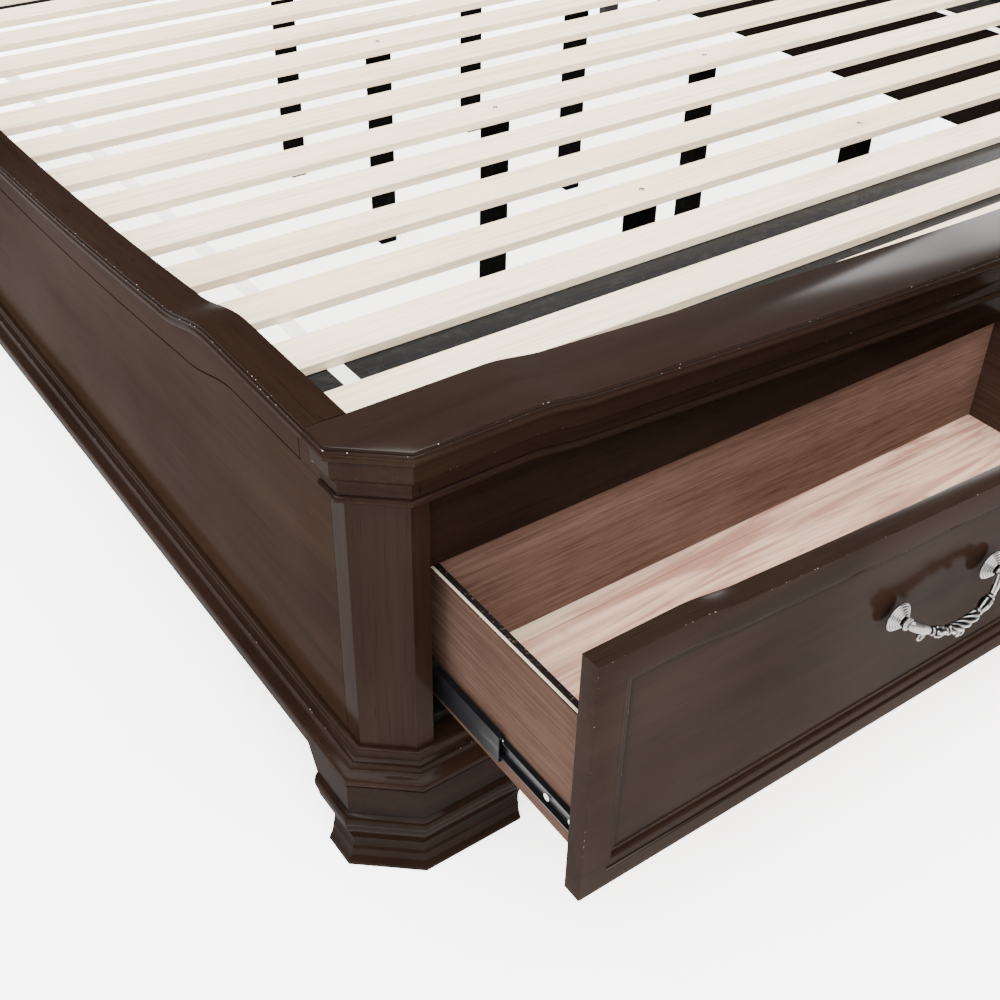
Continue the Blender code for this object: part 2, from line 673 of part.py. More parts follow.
def make_rosette(name, x, parent):
    """Turned rosette of a pull: a stepped disc, a neck and a button."""
    full = ROSETTE_RADIUS
    reach = ROSETTE_REACH
    profile = [
        (0.0, reach), (0.30 * full, reach), (0.46 * full, 0.88 * reach), (0.46 * full, 0.68 * reach),
        (0.34 * full, 0.56 * reach), (0.40 * full, 0.42 * reach), (0.72 * full, 0.36 * reach),
        (0.76 * full, 0.22 * reach), (full, 0.16 * reach), (full, GAP), (0.0, GAP),
    ]
    mesh = bpy.data.meshes.new(name)
    points = [(radius, 0.0, out) for radius, out in profile]
    mesh.from_pydata(points, [(i, i + 1) for i in range(len(points) - 1)], [])
    item = bpy.data.objects.new(name, mesh)
    item.location = (x, POST_FRONT, PULL_HEIGHT)
    item.rotation_euler = (math.pi / 2, 0.0, 0.0)
    turn = item.modifiers.new("turned", "SCREW")
    turn.steps = 20
    turn.render_steps = 20
    turn.use_merge_vertices = True
    turn.merge_threshold = 0.00001
    return place(item, name, pewter(), parent, "joining_shapes")


def make_pull(side, tag, parent):
    """Bail pull: an arched grip that droops between two rosettes, cast in one piece."""
    middle = side * (POST_INNER - DRAWER_REVEAL + DIVIDER_WIDTH / 2 + DRAWER_REVEAL) / 2
    half = PULL_SPACING / 2
    root = 0.78 * ROSETTE_REACH
    route = [(-half, root, 0.0), (-0.72 * half, 0.80 * PULL_REACH, 0.42 * PULL_DROP)]
    route += [(0.0, PULL_REACH, PULL_DROP)]
    route += [(-x, out, drop) for x, out, drop in reversed(route[:2])]
    curve = bpy.data.curves.new("grip", "CURVE")
    curve.dimensions = "3D"
    curve.bevel_depth = GRIP_RADIUS
    curve.bevel_resolution = 2
    curve.resolution_u = 6
    curve.use_fill_caps = True
    spline = curve.splines.new("BEZIER")
    spline.bezier_points.add(len(route) - 1)
    for point, (x, out, drop) in zip(spline.bezier_points, route):
        point.co = (middle + x, POST_FRONT - out, PULL_HEIGHT - drop)
        point.handle_left_type = "AUTO"
        point.handle_right_type = "AUTO"
    grip = bpy.data.objects.new("grip", curve)
    grip = as_mesh(place(grip, f"drawer_pull_{tag}", pewter(), parent))
    tools = [make_rosette(f"rosette_{tag}_{i}", middle + x, parent) for i, x in enumerate((-half, half))]
    return join(grip, tools)


def channel(name, wall, way, near, far, half_height, parent):
    """A slide member: a C-shaped steel section. near is its web's distance from the cabinet's
    wall and far its flanges' ends; way is the direction from the wall to the drawer."""
    inner = near + SLIDE_STEEL * (1 if far > near else -1)
    flat = half_height - SLIDE_STEEL
    shape = [
        (near, -half_height), (far, -half_height), (far, -flat), (inner, -flat),
        (inner, flat), (far, flat), (far, half_height), (near, half_height),
    ]
    outline = [(wall + way * across, SLIDE_CENTRE + up) for across, up in shape]
    return plate(name, outline, SLIDE_FRONT, SLIDE_LENGTH, "XZ", slide_steel(), parent)


def make_slides(side, tag, fixed, middle, moving):
    """Three-part ball slides on both sides of a drawer: cabinet, middle and drawer members."""
    walls = (("outer", side * CABINET_INNER, -side), ("inner", side * DIVIDER_WIDTH / 2, side))
    space = SLIDE_SPACE
    members = (
        ("cabinet", GAP, 0.75 * space, SLIDE_CABINET_HALF, fixed),
        ("middle", 0.31 * space, 0.82 * space, SLIDE_MIDDLE_HALF, middle),
        ("drawer", space - GAP, 0.52 * space, SLIDE_DRAWER_HALF, moving),
    )
    for where, wall, way in walls:
        for member, near, far, half_height, parent in members:
            name = f"slide_{member}_{tag}_{where}"
            channel(name, wall, way, near, far, half_height, parent)


def make_drawer(side, tag, opening, frame):
    """One drawer with its slides: the drawer's empty moves out by the opening, and the middle
    members' empty by half of it."""
    moving = empty(f"drawer_{tag}_axis", (0.0, -opening, 0.0), frame)
    middle = empty(f"slide_middle_{tag}_axis", (0.0, -opening / 2, 0.0), frame)
    make_drawer_front(side, tag, moving)
    make_drawer_box(side, tag, moving)
    make_pull(side, tag, moving)
    make_slides(side, tag, frame, middle, moving)


# ---- assembly -----------------------------------------------------------------------------------
clear_scene()
bed = empty("bed_frame", (0.0, -(HEAD_END + FRONT_TIP) / 2, 0.0))
for side_sign, side_name in SIDES:
    make_post(side_sign, side_name, bed)
    make_foot(side_sign, side_name, bed)
    make_rail(side_sign, side_name, bed)
    make_rail_cap(side_sign, side_name, bed)
    make_ledger(side_sign, side_name, bed)
make_front_base(bed)
make_footboard_cap(bed)
make_apron(bed)
make_divider(bed)
make_cabinet(bed)
make_slats(bed)
make_head_support(bed)
make_drawer(-1, "left", REST_OPENING, bed)
make_drawer(1, "right", 0.0, bed)
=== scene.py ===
"""Looks of a platform bed with two footboard drawers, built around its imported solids.

Every piece is in metres in the frame of the solids: X across the bed, Y from the foot to the head,
Z up. The studio and the walnut finish come first, then the bed from its mouldings to its slats.
"""

import math

import bpy
import numpy as np
from mathutils import Matrix, Vector


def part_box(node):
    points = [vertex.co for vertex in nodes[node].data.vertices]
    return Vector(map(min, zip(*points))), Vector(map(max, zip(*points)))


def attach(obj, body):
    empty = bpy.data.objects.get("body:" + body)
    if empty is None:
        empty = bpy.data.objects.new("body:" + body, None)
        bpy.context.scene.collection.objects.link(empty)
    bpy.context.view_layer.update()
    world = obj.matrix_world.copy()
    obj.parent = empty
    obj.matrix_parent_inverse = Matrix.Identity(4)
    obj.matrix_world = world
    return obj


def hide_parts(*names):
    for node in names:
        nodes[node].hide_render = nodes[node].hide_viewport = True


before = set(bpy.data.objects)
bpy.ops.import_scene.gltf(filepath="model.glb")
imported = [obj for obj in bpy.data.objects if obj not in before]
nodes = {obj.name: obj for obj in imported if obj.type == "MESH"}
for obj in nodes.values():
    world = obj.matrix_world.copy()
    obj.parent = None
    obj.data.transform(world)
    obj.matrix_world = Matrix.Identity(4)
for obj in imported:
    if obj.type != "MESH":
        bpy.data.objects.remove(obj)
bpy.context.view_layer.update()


# ---- studio -------------------------------------------------------------------------------------
# A seamless white floor that glows a little, a dim even sky, a broad soft light overhead and three
# lamps for the sheen: a long one to the left of the rail, a long one before the drawers, and a
# square one far to the right that glares on the cap.
def camera_at(place, right, down, forward, lens):
    """A camera at a place, from the directions that are right, down and forward in its picture."""
    body = bpy.data.cameras.new("camera")
    body.lens = lens
    body.sensor_width = 36.0
    made = bpy.data.objects.new("camera", body)
    bpy.context.scene.collection.objects.link(made)
    x, y, z = Vector(right), -Vector(down), -Vector(forward)
    turn = Matrix((x, y, z)).transposed()
    made.matrix_world = Matrix.Translation(place) @ turn.to_4x4()
    bpy.context.scene.camera = made


def lamp(name, place, target, width, height, power):
    """A rectangular soft lamp that faces a point."""
    light = bpy.data.lights.new(name, "AREA")
    light.shape = "RECTANGLE"
    light.size, light.size_y = width, height
    light.energy = power
    made = bpy.data.objects.new(name, light)
    made.location = place
    made.rotation_euler = (Vector(target) - Vector(place)).to_track_quat("-Z", "Y").to_euler()
    bpy.context.scene.collection.objects.link(made)


camera_at(
    place=(-1.450, -1.723, 1.220),
    right=(0.81742, -0.57577, 0.01795),
    down=(-0.34108, -0.50887, -0.79039),
    forward=(0.46422, 0.63996, -0.61234),
    lens=48.15,
)
lamp("left_side", (-3.2, -0.4, 2.0), (-1.0, 0.0, 0.3), 3.2, 0.16, 55.0)
lamp("front", (-1.0, -3.8, 1.9), (-0.3, -1.0, 0.3), 3.2, 0.16, 70.0)
lamp("cap_glare", (3.7, 0.95, 2.5), (-0.1, -0.9, 0.5), 1.3, 1.3, 55.0)
overhead = bpy.data.lights.new("overhead", "SUN")
overhead.energy = 13.0
overhead.angle = math.radians(78.0)
made = bpy.data.objects.new("overhead", overhead)
made.rotation_euler = (math.radians(14.0), math.radians(-12.0), 0.0)
bpy.context.scene.collection.objects.link(made)

sky = bpy.data.worlds.new("sky")
sky.use_nodes = True
sky.node_tree.nodes["Background"].inputs["Color"].default_value = (1.0, 1.0, 1.0, 1.0)
sky.node_tree.nodes["Background"].inputs["Strength"].default_value = 0.42
bpy.context.scene.world = sky


class Value:
    """A number socket that Python's operators work on: each adds one Math node."""

    def __init__(self, look, socket):
        self.look = look
        self.socket = socket

    def math(self, operation, *others):
        inputs = {i: v for i, v in enumerate((self, *others))}
        return self.look.node("ShaderNodeMath", {"operation": operation}, inputs)

    def __add__(self, other):
        return self.math("ADD", other)

    __radd__ = __add__

    def __mul__(self, other):
        return self.math("MULTIPLY", other)

    __rmul__ = __mul__

    def __sub__(self, other):
        return self.math("SUBTRACT", other)

    def __rsub__(self, other):
        return (self * -1.0).math("ADD", other)

    def __truediv__(self, other):
        return self.math("DIVIDE", other)

    def between(self, low, high):
        """0 below low and 1 above high, with a smooth step from one to the other."""
        return self.look.node(
            "ShaderNodeMapRange",
            {"interpolation_type": "SMOOTHSTEP"},
            {"Value": self, "From Min": low, "From Max": high},
        )


class Look:
    """A Principled material. Fixed sockets are set on it, and varying ones are linked to it."""

    def __init__(self, name, **fixed):
        self.material = bpy.data.materials.new(name)
        self.material.use_nodes = True
        self.tree = self.material.node_tree
        self.shader = self.tree.nodes["Principled BSDF"]
        for socket, value in fixed.items():
            self.shader.inputs[socket.replace("_", " ")].default_value = value
        self.place = self.node("ShaderNodeTexCoord", {}, {}, "Object")

    def node(self, kind, settings, inputs, output=0):
        """Add a node of a type with its settings and the values or links of its sockets."""
        made = self.tree.nodes.new(kind)
        for key, value in settings.items():
            if key == "stops":
                ramp = made.color_ramp
                while len(ramp.elements) < len(value):
                    ramp.elements.new(0.5)
                for element, (at, colour) in zip(ramp.elements, value):
                    element.position = at
                    element.color = (*colour, 1.0)
            else:
                setattr(made, key, value)
        for key, value in inputs.items():
            socket = made.inputs[key]
            if isinstance(value, Value):
                self.tree.links.new(value.socket, socket)
            elif isinstance(value, tuple) and len(socket.default_value) == 4:
                socket.default_value = (*value, 1.0)
            else:
                socket.default_value = value
        return Value(self, made.outputs[output])

    def noise(self, scale, detail=4.0, rough=0.55, warp=0.0):
        """Noise from 0 to 1 on stretched Object coordinates: scale is cycles per metre by axis."""
        at = self.node("ShaderNodeMapping", {}, {"Vector": self.place, "Scale": scale})
        inputs = {"Vector": at, "Scale": 1.0, "Detail": detail, "Roughness": rough, "Distortion": warp}
        return self.node("ShaderNodeTexNoise", {}, inputs)

    def attribute(self, name):
        """A number that the piece carries on its points."""
        return self.node("ShaderNodeAttribute", {"attribute_name": name}, {}, "Fac")

    def axis(self, letter):
        """One Object coordinate in metres."""
        return self.node("ShaderNodeSeparateXYZ", {}, {0: self.place}, letter)

    def mix(self, share, one, two):
        """A colour between two colours."""
        inputs = {0: share, 6: one, 7: two}
        return self.node("ShaderNodeMix", {"data_type": "RGBA"}, inputs, 2)

    def bump(self, height, distance, strength=1.0, under=None):
        """A bump from a height, over another bump if there is one."""
        inputs = {"Height": height, "Distance": distance, "Strength": strength}
        if under is not None:
            inputs["Normal"] = under
        return self.node("ShaderNodeBump", {}, inputs)

    def finish(self, **linked):
        """Link the varying sockets of the shader and give back the material."""
        for socket, value in linked.items():
            self.tree.links.new(value.socket, self.shader.inputs[socket.replace("_", " ")])
        return self.material


def paint(material, *names):
    """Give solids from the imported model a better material."""
    for name in names:
        nodes[name].data.materials.clear()
        nodes[name].data.materials.append(material)


def studio_floor():
    """Pale seamless paper, with a faint long unevenness."""
    look = Look("studio_paper", Roughness=0.95, Specular_IOR_Level=0.1, Emission_Strength=2.6)
    look.shader.inputs["Emission Color"].default_value = (1.0, 1.0, 1.0, 1.0)
    patch = look.noise((0.7, 0.7, 0.7), 2.0)
    return look.finish(Base_Color=look.mix(patch, (0.93, 0.93, 0.93), (0.96, 0.96, 0.955)))


def sheet_of(name, points, material):
    """A mesh through a grid of points (rows, columns, 3), one quad between four neighbours."""
    rows, columns = points.shape[:2]
    at = np.arange(rows * columns).reshape(rows, columns)
    quads = np.stack([at[:-1, :-1], at[:-1, 1:], at[1:, 1:], at[1:, :-1]], -1).reshape(-1, 4)
    mesh = bpy.data.meshes.new(name)
    mesh.from_pydata(points.reshape(-1, 3).tolist(), [], quads.tolist())
    mesh.materials.append(material)
    made = bpy.data.objects.new(name, mesh)
    bpy.context.scene.collection.objects.link(made)
    return made


FLOOR_HALF, FLOOR_DROP = 30.0, 0.0005
side = np.linspace(-FLOOR_HALF, FLOOR_HALF, 5)
floor_x, floor_y = np.meshgrid(side, side)
floor_grid = np.stack([floor_x, floor_y, floor_x * 0.0 - FLOOR_DROP], -1)[:, ::-1]
paper = sheet_of("studio_floor", floor_grid, studio_floor())


# ---- dark walnut-brown finish -------------------------------------------------------------------
# Open-pored hardwood under a brown stain, a darker glaze wiped into the mouldings' hollows and a
# semi-gloss lacquer that is rubbed thin on the crests. The grain runs along the length of a piece.
DARK_GLAZE, DARK_CREST = (0.0022, 0.0014, 0.0011), (0.0035, 0.0022, 0.0018)
BARE_WOOD = (0.55, 0.50, 0.45)


def walnut(name, grain, warm=0.5, gloss=0.32, specks=0.35, tone=0.165, gleam=0.10, top_gleam=0.10):
    """Stained wood under lacquer.

    grain is X, Y or Z. warm shifts the stain from near black to warm brown, and tone lightens the
    whole. specks sets how many worn points lie along the crests, gleam how much lacquer there is,
    and top_gleam how much more of it is on faces that look up.
    """
    look = Look(name, Coat_Roughness=0.14, Specular_IOR_Level=0.0)

    def along(run, across):
        return tuple(run if letter == grain else across for letter in "XYZ")

    figure = look.noise(along(0.9, 9.0), 3.0, 0.5, 1.4)
    fibre = look.noise(along(5.0, 150.0), 6.0, 0.62, 0.4)
    pore = look.noise(along(16.0, 560.0), 2.0, 0.5)
    cloud = look.noise((2.1, 2.1, 2.1), 3.0, 0.5)
    relief = look.attribute("relief")
    pits = pore.between(0.62, 0.74)
    deep = tuple(tone * (0.016 + 0.010 * warm) * v for v in (1.0, 0.50, 0.30))
    middle = tuple(tone * (0.040 + 0.036 * warm) * v for v in (1.0, 0.53, 0.33))
    light = tuple(tone * (0.070 + 0.050 * warm) * v for v in (1.0, 0.58, 0.38))
    shade = figure * 0.45 + fibre * 0.30 + cloud * 0.45 - 0.10
    stain = look.node(
        "ShaderNodeValToRGB",
        {"stops": ((0.22, deep), (0.50, middle), (0.82, light))},
        {0: shade},
    )
    pitted = look.mix(pits * 0.55, stain, deep)
    hollow = (relief * -1.0).between(0.05, 0.9)
    glazed = look.mix(hollow * 0.85, pitted, DARK_GLAZE)
    crest = relief.between(0.35, 0.95)
    dark_crest = look.mix(crest * 0.45, glazed, DARK_CREST)
    rarity = 0.10 * specks
    chip = look.noise((420.0, 420.0, 420.0), 1.0).between(0.745 - rarity, 0.79 - rarity)
    worn = look.mix(crest * chip, dark_crest, BARE_WOOD)
    rough = fibre * 0.10 + cloud * 0.12 + pits * 0.18 + (gloss - 0.10)
    grain_bump = look.bump(fibre * 0.5 - pits * 1.0, 0.00028, 0.65)
    wave = look.noise((14.0, 14.0, 14.0), 2.0)
    surface = look.bump(wave, 0.0012, 0.25, grain_bump)
    facing = look.node("ShaderNodeNewGeometry", {}, {}, "Normal")
    upward = look.node("ShaderNodeSeparateXYZ", {}, {0: facing}, "Z").between(0.80, 0.95)
    coat = cloud * (upward * top_gleam + gleam)
    return look.finish(Base_Color=worn, Roughness=rough, Coat_Weight=coat, Normal=surface)


walnut_along = {letter: walnut(f"walnut_grain_{letter}", letter) for letter in "XYZ"}
walnut_top = walnut("walnut_cap_top", "X", 0.50, 0.28, tone=0.165, gleam=0.06, top_gleam=0.75)
walnut_side = walnut("walnut_side_panel", "Y", 0.85, 0.34, tone=0.175, gleam=0.04)
# Painted shade: the apron's walnut is a darker copy of the finish, for the shade under the cap.
walnut_painted_shade_apron = walnut("walnut_apron_painted_shade", "X", 0.30, 0.30, tone=0.17)


# ---- mouldings ----------------------------------------------------------------------------------
# Every moulding is one profile, planed along its length and mitred round the cut corners. The
# profiles are drawn as projection from the post's face and height, with round members as arcs.
def members(points, cuts=7):
    """Profile points (projection, height, bulge) joined by straight or round members.

    bulge is the tangent of a quarter of the arc's angle: 0 is straight, positive bows outwards. A
    point of an arc is the chord's middle plus radius times sine along it and cosine across it.
    """
    line = [np.array(points[0][:2])]
    for (x0, z0, bulge), (x1, z1, _) in zip(points, points[1:]):
        start, end = np.array((x0, z0)), np.array((x1, z1))
        if bulge == 0.0:
            line.append(end)
            continue
        chord = end - start
        length = np.hypot(*chord)
        half = 2.0 * math.atan(bulge)
        radius = length / (2.0 * math.sin(half))
        angle = np.linspace(-half, half, cuts + 1)[1:]
        forward = chord / length
        outward = np.array((-forward[1], forward[0]))
        run = length / 2 + radius * np.sin(angle)
        rise = radius * (np.cos(angle) - math.cos(half))
        line.extend(start + run[:, None] * forward + rise[:, None] * outward)
    return np.array(line)


def eased(line, ease=0.0005):
    """Take the sharpness off a profile's corners and note its relief.

    A corner that turns by more than about 20 degrees becomes three points: one on each side of it
    and the corner itself drawn a third of the way in. Relief is +1 on crests and -1 in hollows.
    """
    step = np.diff(line, axis=0)
    length = np.hypot(step[:, 0], step[:, 1])
    way = step / length[:, None]
    before, after = way[:-1], way[1:]
    turn = before[:, 0] * after[:, 1] - before[:, 1] * after[:, 0]
    sharp = (before * after).sum(1) < 0.94
    room = np.minimum(ease, 0.4 * np.minimum(length[:-1], length[1:]))[:, None]
    corner = line[1:-1]
    first, last = corner - room * before, corner + room * after
    middle = np.where(sharp[:, None], (corner * 2 + first + last) / 4, corner)
    parts = np.stack([first, middle, last], 1)
    wanted = np.stack([sharp, np.ones_like(sharp), sharp], 1)
    value = np.clip(-turn * 1.3, -1.0, 1.0)
    relief = np.stack([value * 0.55, value, value * 0.55], 1)
    points = np.concatenate([line[:1], parts[wanted], line[-1:]])
    return points, np.concatenate([[0.0], relief[wanted], [0.0]])


def solid_of(name, rings, material, relief=None, angle=34.0, ladder=False):
    """A closed solid through rings of points (stations, points, 3), with faces closing its ends.

    Row i of the grid joins row i + 1, and each ring closes on itself. A ladder end is quads from
    the ring's outer half to its inner half, for ends that aren't flat.
    """
    count, size = rings.shape[:2]
    at = np.arange(count * size).reshape(count, size)
    nxt = np.roll(at, -1, axis=1)
    quads = np.stack([at[:-1], nxt[:-1], nxt[1:], at[1:]], -1).reshape(-1, 4).tolist()
    if ladder:
        i = np.arange(size // 2 - 1)
        for row, flip in ((at[0], False), (at[-1], True)):
            rungs = np.stack([row[i], row[size - 1 - i], row[size - 2 - i], row[i + 1]], -1)
            quads += (rungs[:, ::-1] if flip else rungs).tolist()
    else:
        quads += [at[0][::-1].tolist(), at[-1].tolist()]
    mesh = bpy.data.meshes.new(name)
    mesh.from_pydata(rings.reshape(-1, 3).tolist(), [], quads)
    if signed_volume(mesh) < 0.0:
        mesh.flip_normals()
    if relief is not None:
        held = mesh.attributes.new("relief", "FLOAT", "POINT")
        held.data.foreach_set("value", np.broadcast_to(relief, (count, size)).astype(np.float32).ravel())
    mesh.shade_smooth()
    mesh.set_sharp_from_angle(angle=math.radians(angle))
    mesh.materials.append(material)
    made = bpy.data.objects.new(name, mesh)
    bpy.context.scene.collection.objects.link(made)
    return made


def signed_volume(mesh):
    """Sum over triangles of the triple product of their corners, a sixth of it."""
    mesh.calc_loop_triangles()
    corners = np.zeros(len(mesh.loop_triangles) * 3, np.int32)
    mesh.loop_triangles.foreach_get("vertices", corners)
    points = np.zeros(len(mesh.vertices) * 3, np.float32)
    mesh.vertices.foreach_get("co", points)
    triangle = points.reshape(-1, 3)[corners].reshape(-1, 3, 3).astype(float)
    return float((triangle[:, 0] * np.cross(triangle[:, 1], triangle[:, 2])).sum() / 6.0)


GAP = 0.0003
post_low, post_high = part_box("corner_post_left")
post_side, post_inner = -post_low.x, -post_high.x
front_face, post_back = post_low.y, post_high.y + GAP
rail_low, rail_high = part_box("side_rail_left")
head_end, top_height = rail_high.y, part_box("footboard_cap")[1].z
rail_start, rail_middle = post_back, (post_back + head_end) / 2
cant_width, cant_depth = 0.046, 0.039
cap_board, cornice_height, rail_cap_board = 0.026, 0.068, 0.014
# Distances from the middle where the level end of a cap stops and where its sag begins.
level_to, sag_from = post_inner - 0.102, post_inner - 0.180
rail_level_to, rail_sag_from = rail_middle - rail_start - 0.193, rail_middle - rail_start - 0.318


def edges(out):
    """Places (across, along) of the post's side and front edges when its faces move out.

    Each is where two planes that keep their directions meet, out being an array of projections.
    """
    length = math.hypot(cant_width, cant_depth)
    across, along = cant_depth / length, cant_width / length
    side_y = front_face + cant_depth - out * (1 - across) / along
    front_x = post_side - cant_width + out * (1 - along) / across
    return (post_side + out, side_y), (front_x, front_face - out)


def smooth(share):
    """Cubic ease from 0 to 1: three squares less two cubes."""
    share = np.clip(share, 0.0, 1.0)
    return share * share * (3 - 2 * share)


def dipped(out, level, sag_start, shoulder_drop, sag_depth, power):
    """Height of a cap at a distance out from the bed's or the rail's middle."""
    shoulder = top_height - shoulder_drop * smooth((level - out) / (level - sag_start))
    sag = top_height - shoulder_drop - sag_depth * (1 - np.minimum(out / sag_start, 1.0) ** power)
    return np.where(out >= sag_start, shoulder, sag)


def footboard_top(x):
    """Height of the footboard's cap: a level end, a small shoulder of 9 mm, then a sag of 33 mm at
    the middle, which falls off with the distance from it to the power 1.5."""
    return dipped(np.abs(x), level_to, sag_from, 0.009, 0.033, 1.5)


def rail_top(y):
    """Height of a side rail's cap: a level end, a shoulder of 25 mm, then a sag of 43 mm at the
    rail's middle, which falls off with the distance from it to the power 1.8."""
    return dipped(np.abs(y - rail_middle), rail_level_to, rail_sag_from, 0.025, 0.043, 1.8)


def profile(*points):
    """Projections, heights and relief of a moulding's eased section."""
    line, relief = eased(members(points))
    return line[:, 0], line[:, 1], relief


def keep(piece, body, slot, *stands_for):
    """Fix a piece to a moving body, in place of the solids it refines. slot is not used."""
    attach(piece, body)
    if stands_for:
        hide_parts(*stands_for)


def board(name, low, high, material, ease=0.0012):
    """A straight board between two corners, with its edges planed off.

    Its rings stand at both ends and one ease in from them. Each is a rectangle with its corners
    cut, and those at the ends are smaller by the ease.
    """
    low, high = np.array(low), np.array(high)
    rings = []
    for x, inset in ((low[0], ease), (low[0] + ease, 0.0), (high[0] - ease, 0.0), (high[0], ease)):
        (y0, z0), (y1, z1) = low[1:] + inset, high[1:] - inset
        ring = [(y0 + ease, z0), (y1 - ease, z0), (y1, z0 + ease), (y1, z1 - ease)]
        ring += [(y1 - ease, z1), (y0 + ease, z1), (y0, z1 - ease), (y0, z0 + ease)]
        rings.append([(x, y, z) for y, z in ring])
    return solid_of(name, np.array(rings), material)


def both(rings):
    """The left half's rings followed by their mirror images, to the right end."""
    right = rings[-2::-1].copy()
    right[..., 0] *= -1
    return np.concatenate([rings, right])


paint(walnut_along["Z"], "corner_post_left", "corner_post_right")


# ---- footboard cap ------------------------------------------------------------------------------
# A 26 mm board with a stepped thumbnail edge, and a fascia, cove and bead under it. The cornice is
# mitred round the cut corners and bent to the cap's sag.
CORNICE = (
    (0.0188, 0.0, 0), (0.0198, -0.0006, 0), (0.0200, -0.0030, 0), (0.0219, -0.0031, 0),
    (0.0220, -0.0058, 0), (0.0224, -0.0064, 0.48), (0.0222, -0.0140, 0), (0.0172, -0.0141, 0),
    (0.0170, -0.0364, 0), (0.0141, -0.0366, -0.26), (0.0086, -0.0570, 0), (0.0086, -0.0594, 0),
    (0.0100, -0.0598, 0.75), (0.0100, -0.0672, 0), (0.0088, -0.0680, 0),
)
level, shoulder = np.linspace(post_inner, level_to, 5), np.linspace(level_to, sag_from, 13)
across = np.concatenate([level, shoulder[1:], np.linspace(sag_from, 0.0, 49)[1:]])


def cap_rings():
    """Rings of the cap from the left end to the middle, and their relief.

    A ring holds the cornice's outline at one place and the board behind it. At the corner the
    outline lies where the moved planes of side, cut and front meet.
    """
    out, drop, relief = profile(*CORNICE)
    back, under = post_back - GAP, -cap_board - 0.0002
    inset = (post_side - post_inner) / 4
    (side_x, side_y), (front_x, front_y) = edges(out)
    places = [(post_side + out, out * 0 + back, post_inner + 3 * inset)]
    places += [(side_x, side_y, post_inner + 2 * inset), (front_x, front_y, post_inner + inset)]
    places += [(out * 0 + x, front_face - out, x) for x in across]
    rings = []
    for x, y, inner in places:
        start = (inner, front_face - GAP) if inner <= post_inner else (x[-1] - 0.008, y[-1])
        behind = [(*start, -cornice_height), (*start, under), (inner, back, under)]
        behind += [(inner, back, -0.0012), (inner, back - 0.0010, 0.0)]
        ring = np.concatenate([np.stack([x, y, drop], -1), np.array(behind)])
        ring[:, 2] += footboard_top(inner)
        ring[:, 0] *= -1
        rings.append(ring)
    return both(np.array(rings)), np.concatenate([relief, (-1.0, -1.0, 0.0, 0.5, 0.2)])


cap, cap_relief = cap_rings()
piece = solid_of("cap_with_cornice", cap, walnut_top, cap_relief)
keep(piece, "frame", "dark_walnut", "footboard_cap")


# ---- side rails ---------------------------------------------------------------------------------
# Each rail is a board with a dished top under a moulded cap. A groove runs 76 mm under the cap and
# ends at a short upright seam near the post; the base moulding is glued along the foot.
RAIL_EDGE = CORNICE[:8] + (
    (0.0170, -0.0172, 0), (0.0132, -0.0190, -0.40), (0.0062, -0.0272, 0), (0.0042, -0.0290, 0),
)
BASE = (
    (0.0030, 0.0, 0.35), (0.0060, -0.0034, 0), (0.0064, -0.0080, -0.35), (0.0138, -0.0134, 0),
    (0.0145, -0.0168, -0.28), (0.0200, -0.0230, 0), (0.0238, -0.0244, 0.55), (0.0238, -0.0380, 0),
)
base_return = 0.118  # side return of the front base, behind the posts' front face
seam = front_face + base_return + 0.003
base_top, base_low = 0.160, 0.122
rail_foot, rail_thickness = rail_low.z, 0.022
fall, dip = np.linspace(rail_level_to, rail_sag_from, 15), np.linspace(-rail_sag_from, rail_sag_from, 61)
along = np.concatenate(
    [
        [rail_start + GAP], np.array((-1.2, -0.6, 0.6, 1.2)) * 0.001 + seam,
        rail_middle - fall, rail_middle + dip[1:], rail_middle + fall[::-1][1:], [head_end],
    ]
)


def rail_panel(sign):
    """Rings of a rail's board. Its groove is 1.2 mm deep behind the seam, and the seam itself is
    the strip above the groove set back by 1 mm between two stations."""
    top = rail_top(along) - rail_cap_board - GAP
    line = rail_top(along) - 0.076
    groove = np.where(along > seam, 0.0012, 0.0)
    cut = np.where(np.abs(along - seam) < 0.0008, 0.0010, 0.0)
    face = along * 0 + post_side
    inner = face - rail_thickness
    ring = [(face, along * 0 + rail_foot), (face, line - 0.0011), (face - groove, line - 0.0003)]
    ring += [(face - groove, line + 0.0003), (face - cut, line + 0.0011), (face - cut, top)]
    ring += [(inner, top), (inner, along * 0 + rail_foot)]
    return np.stack([np.stack([sign * x, along, z], -1) for x, z in ring], 1)


def swept(section_points, places, tops, behind):
    """Rings of a straight moulding on a side rail: an outline with a closing path behind it."""
    out, drop, relief = profile(*section_points)
    out = np.concatenate([out, [b[0] for b in behind]])
    drop = np.concatenate([drop, [b[1] for b in behind]])
    rings = [np.stack([post_side + out, out * 0 + y, top + drop], -1) for y, top in zip(places, tops)]
    return np.array(rings), np.concatenate([relief, np.zeros(len(behind))])


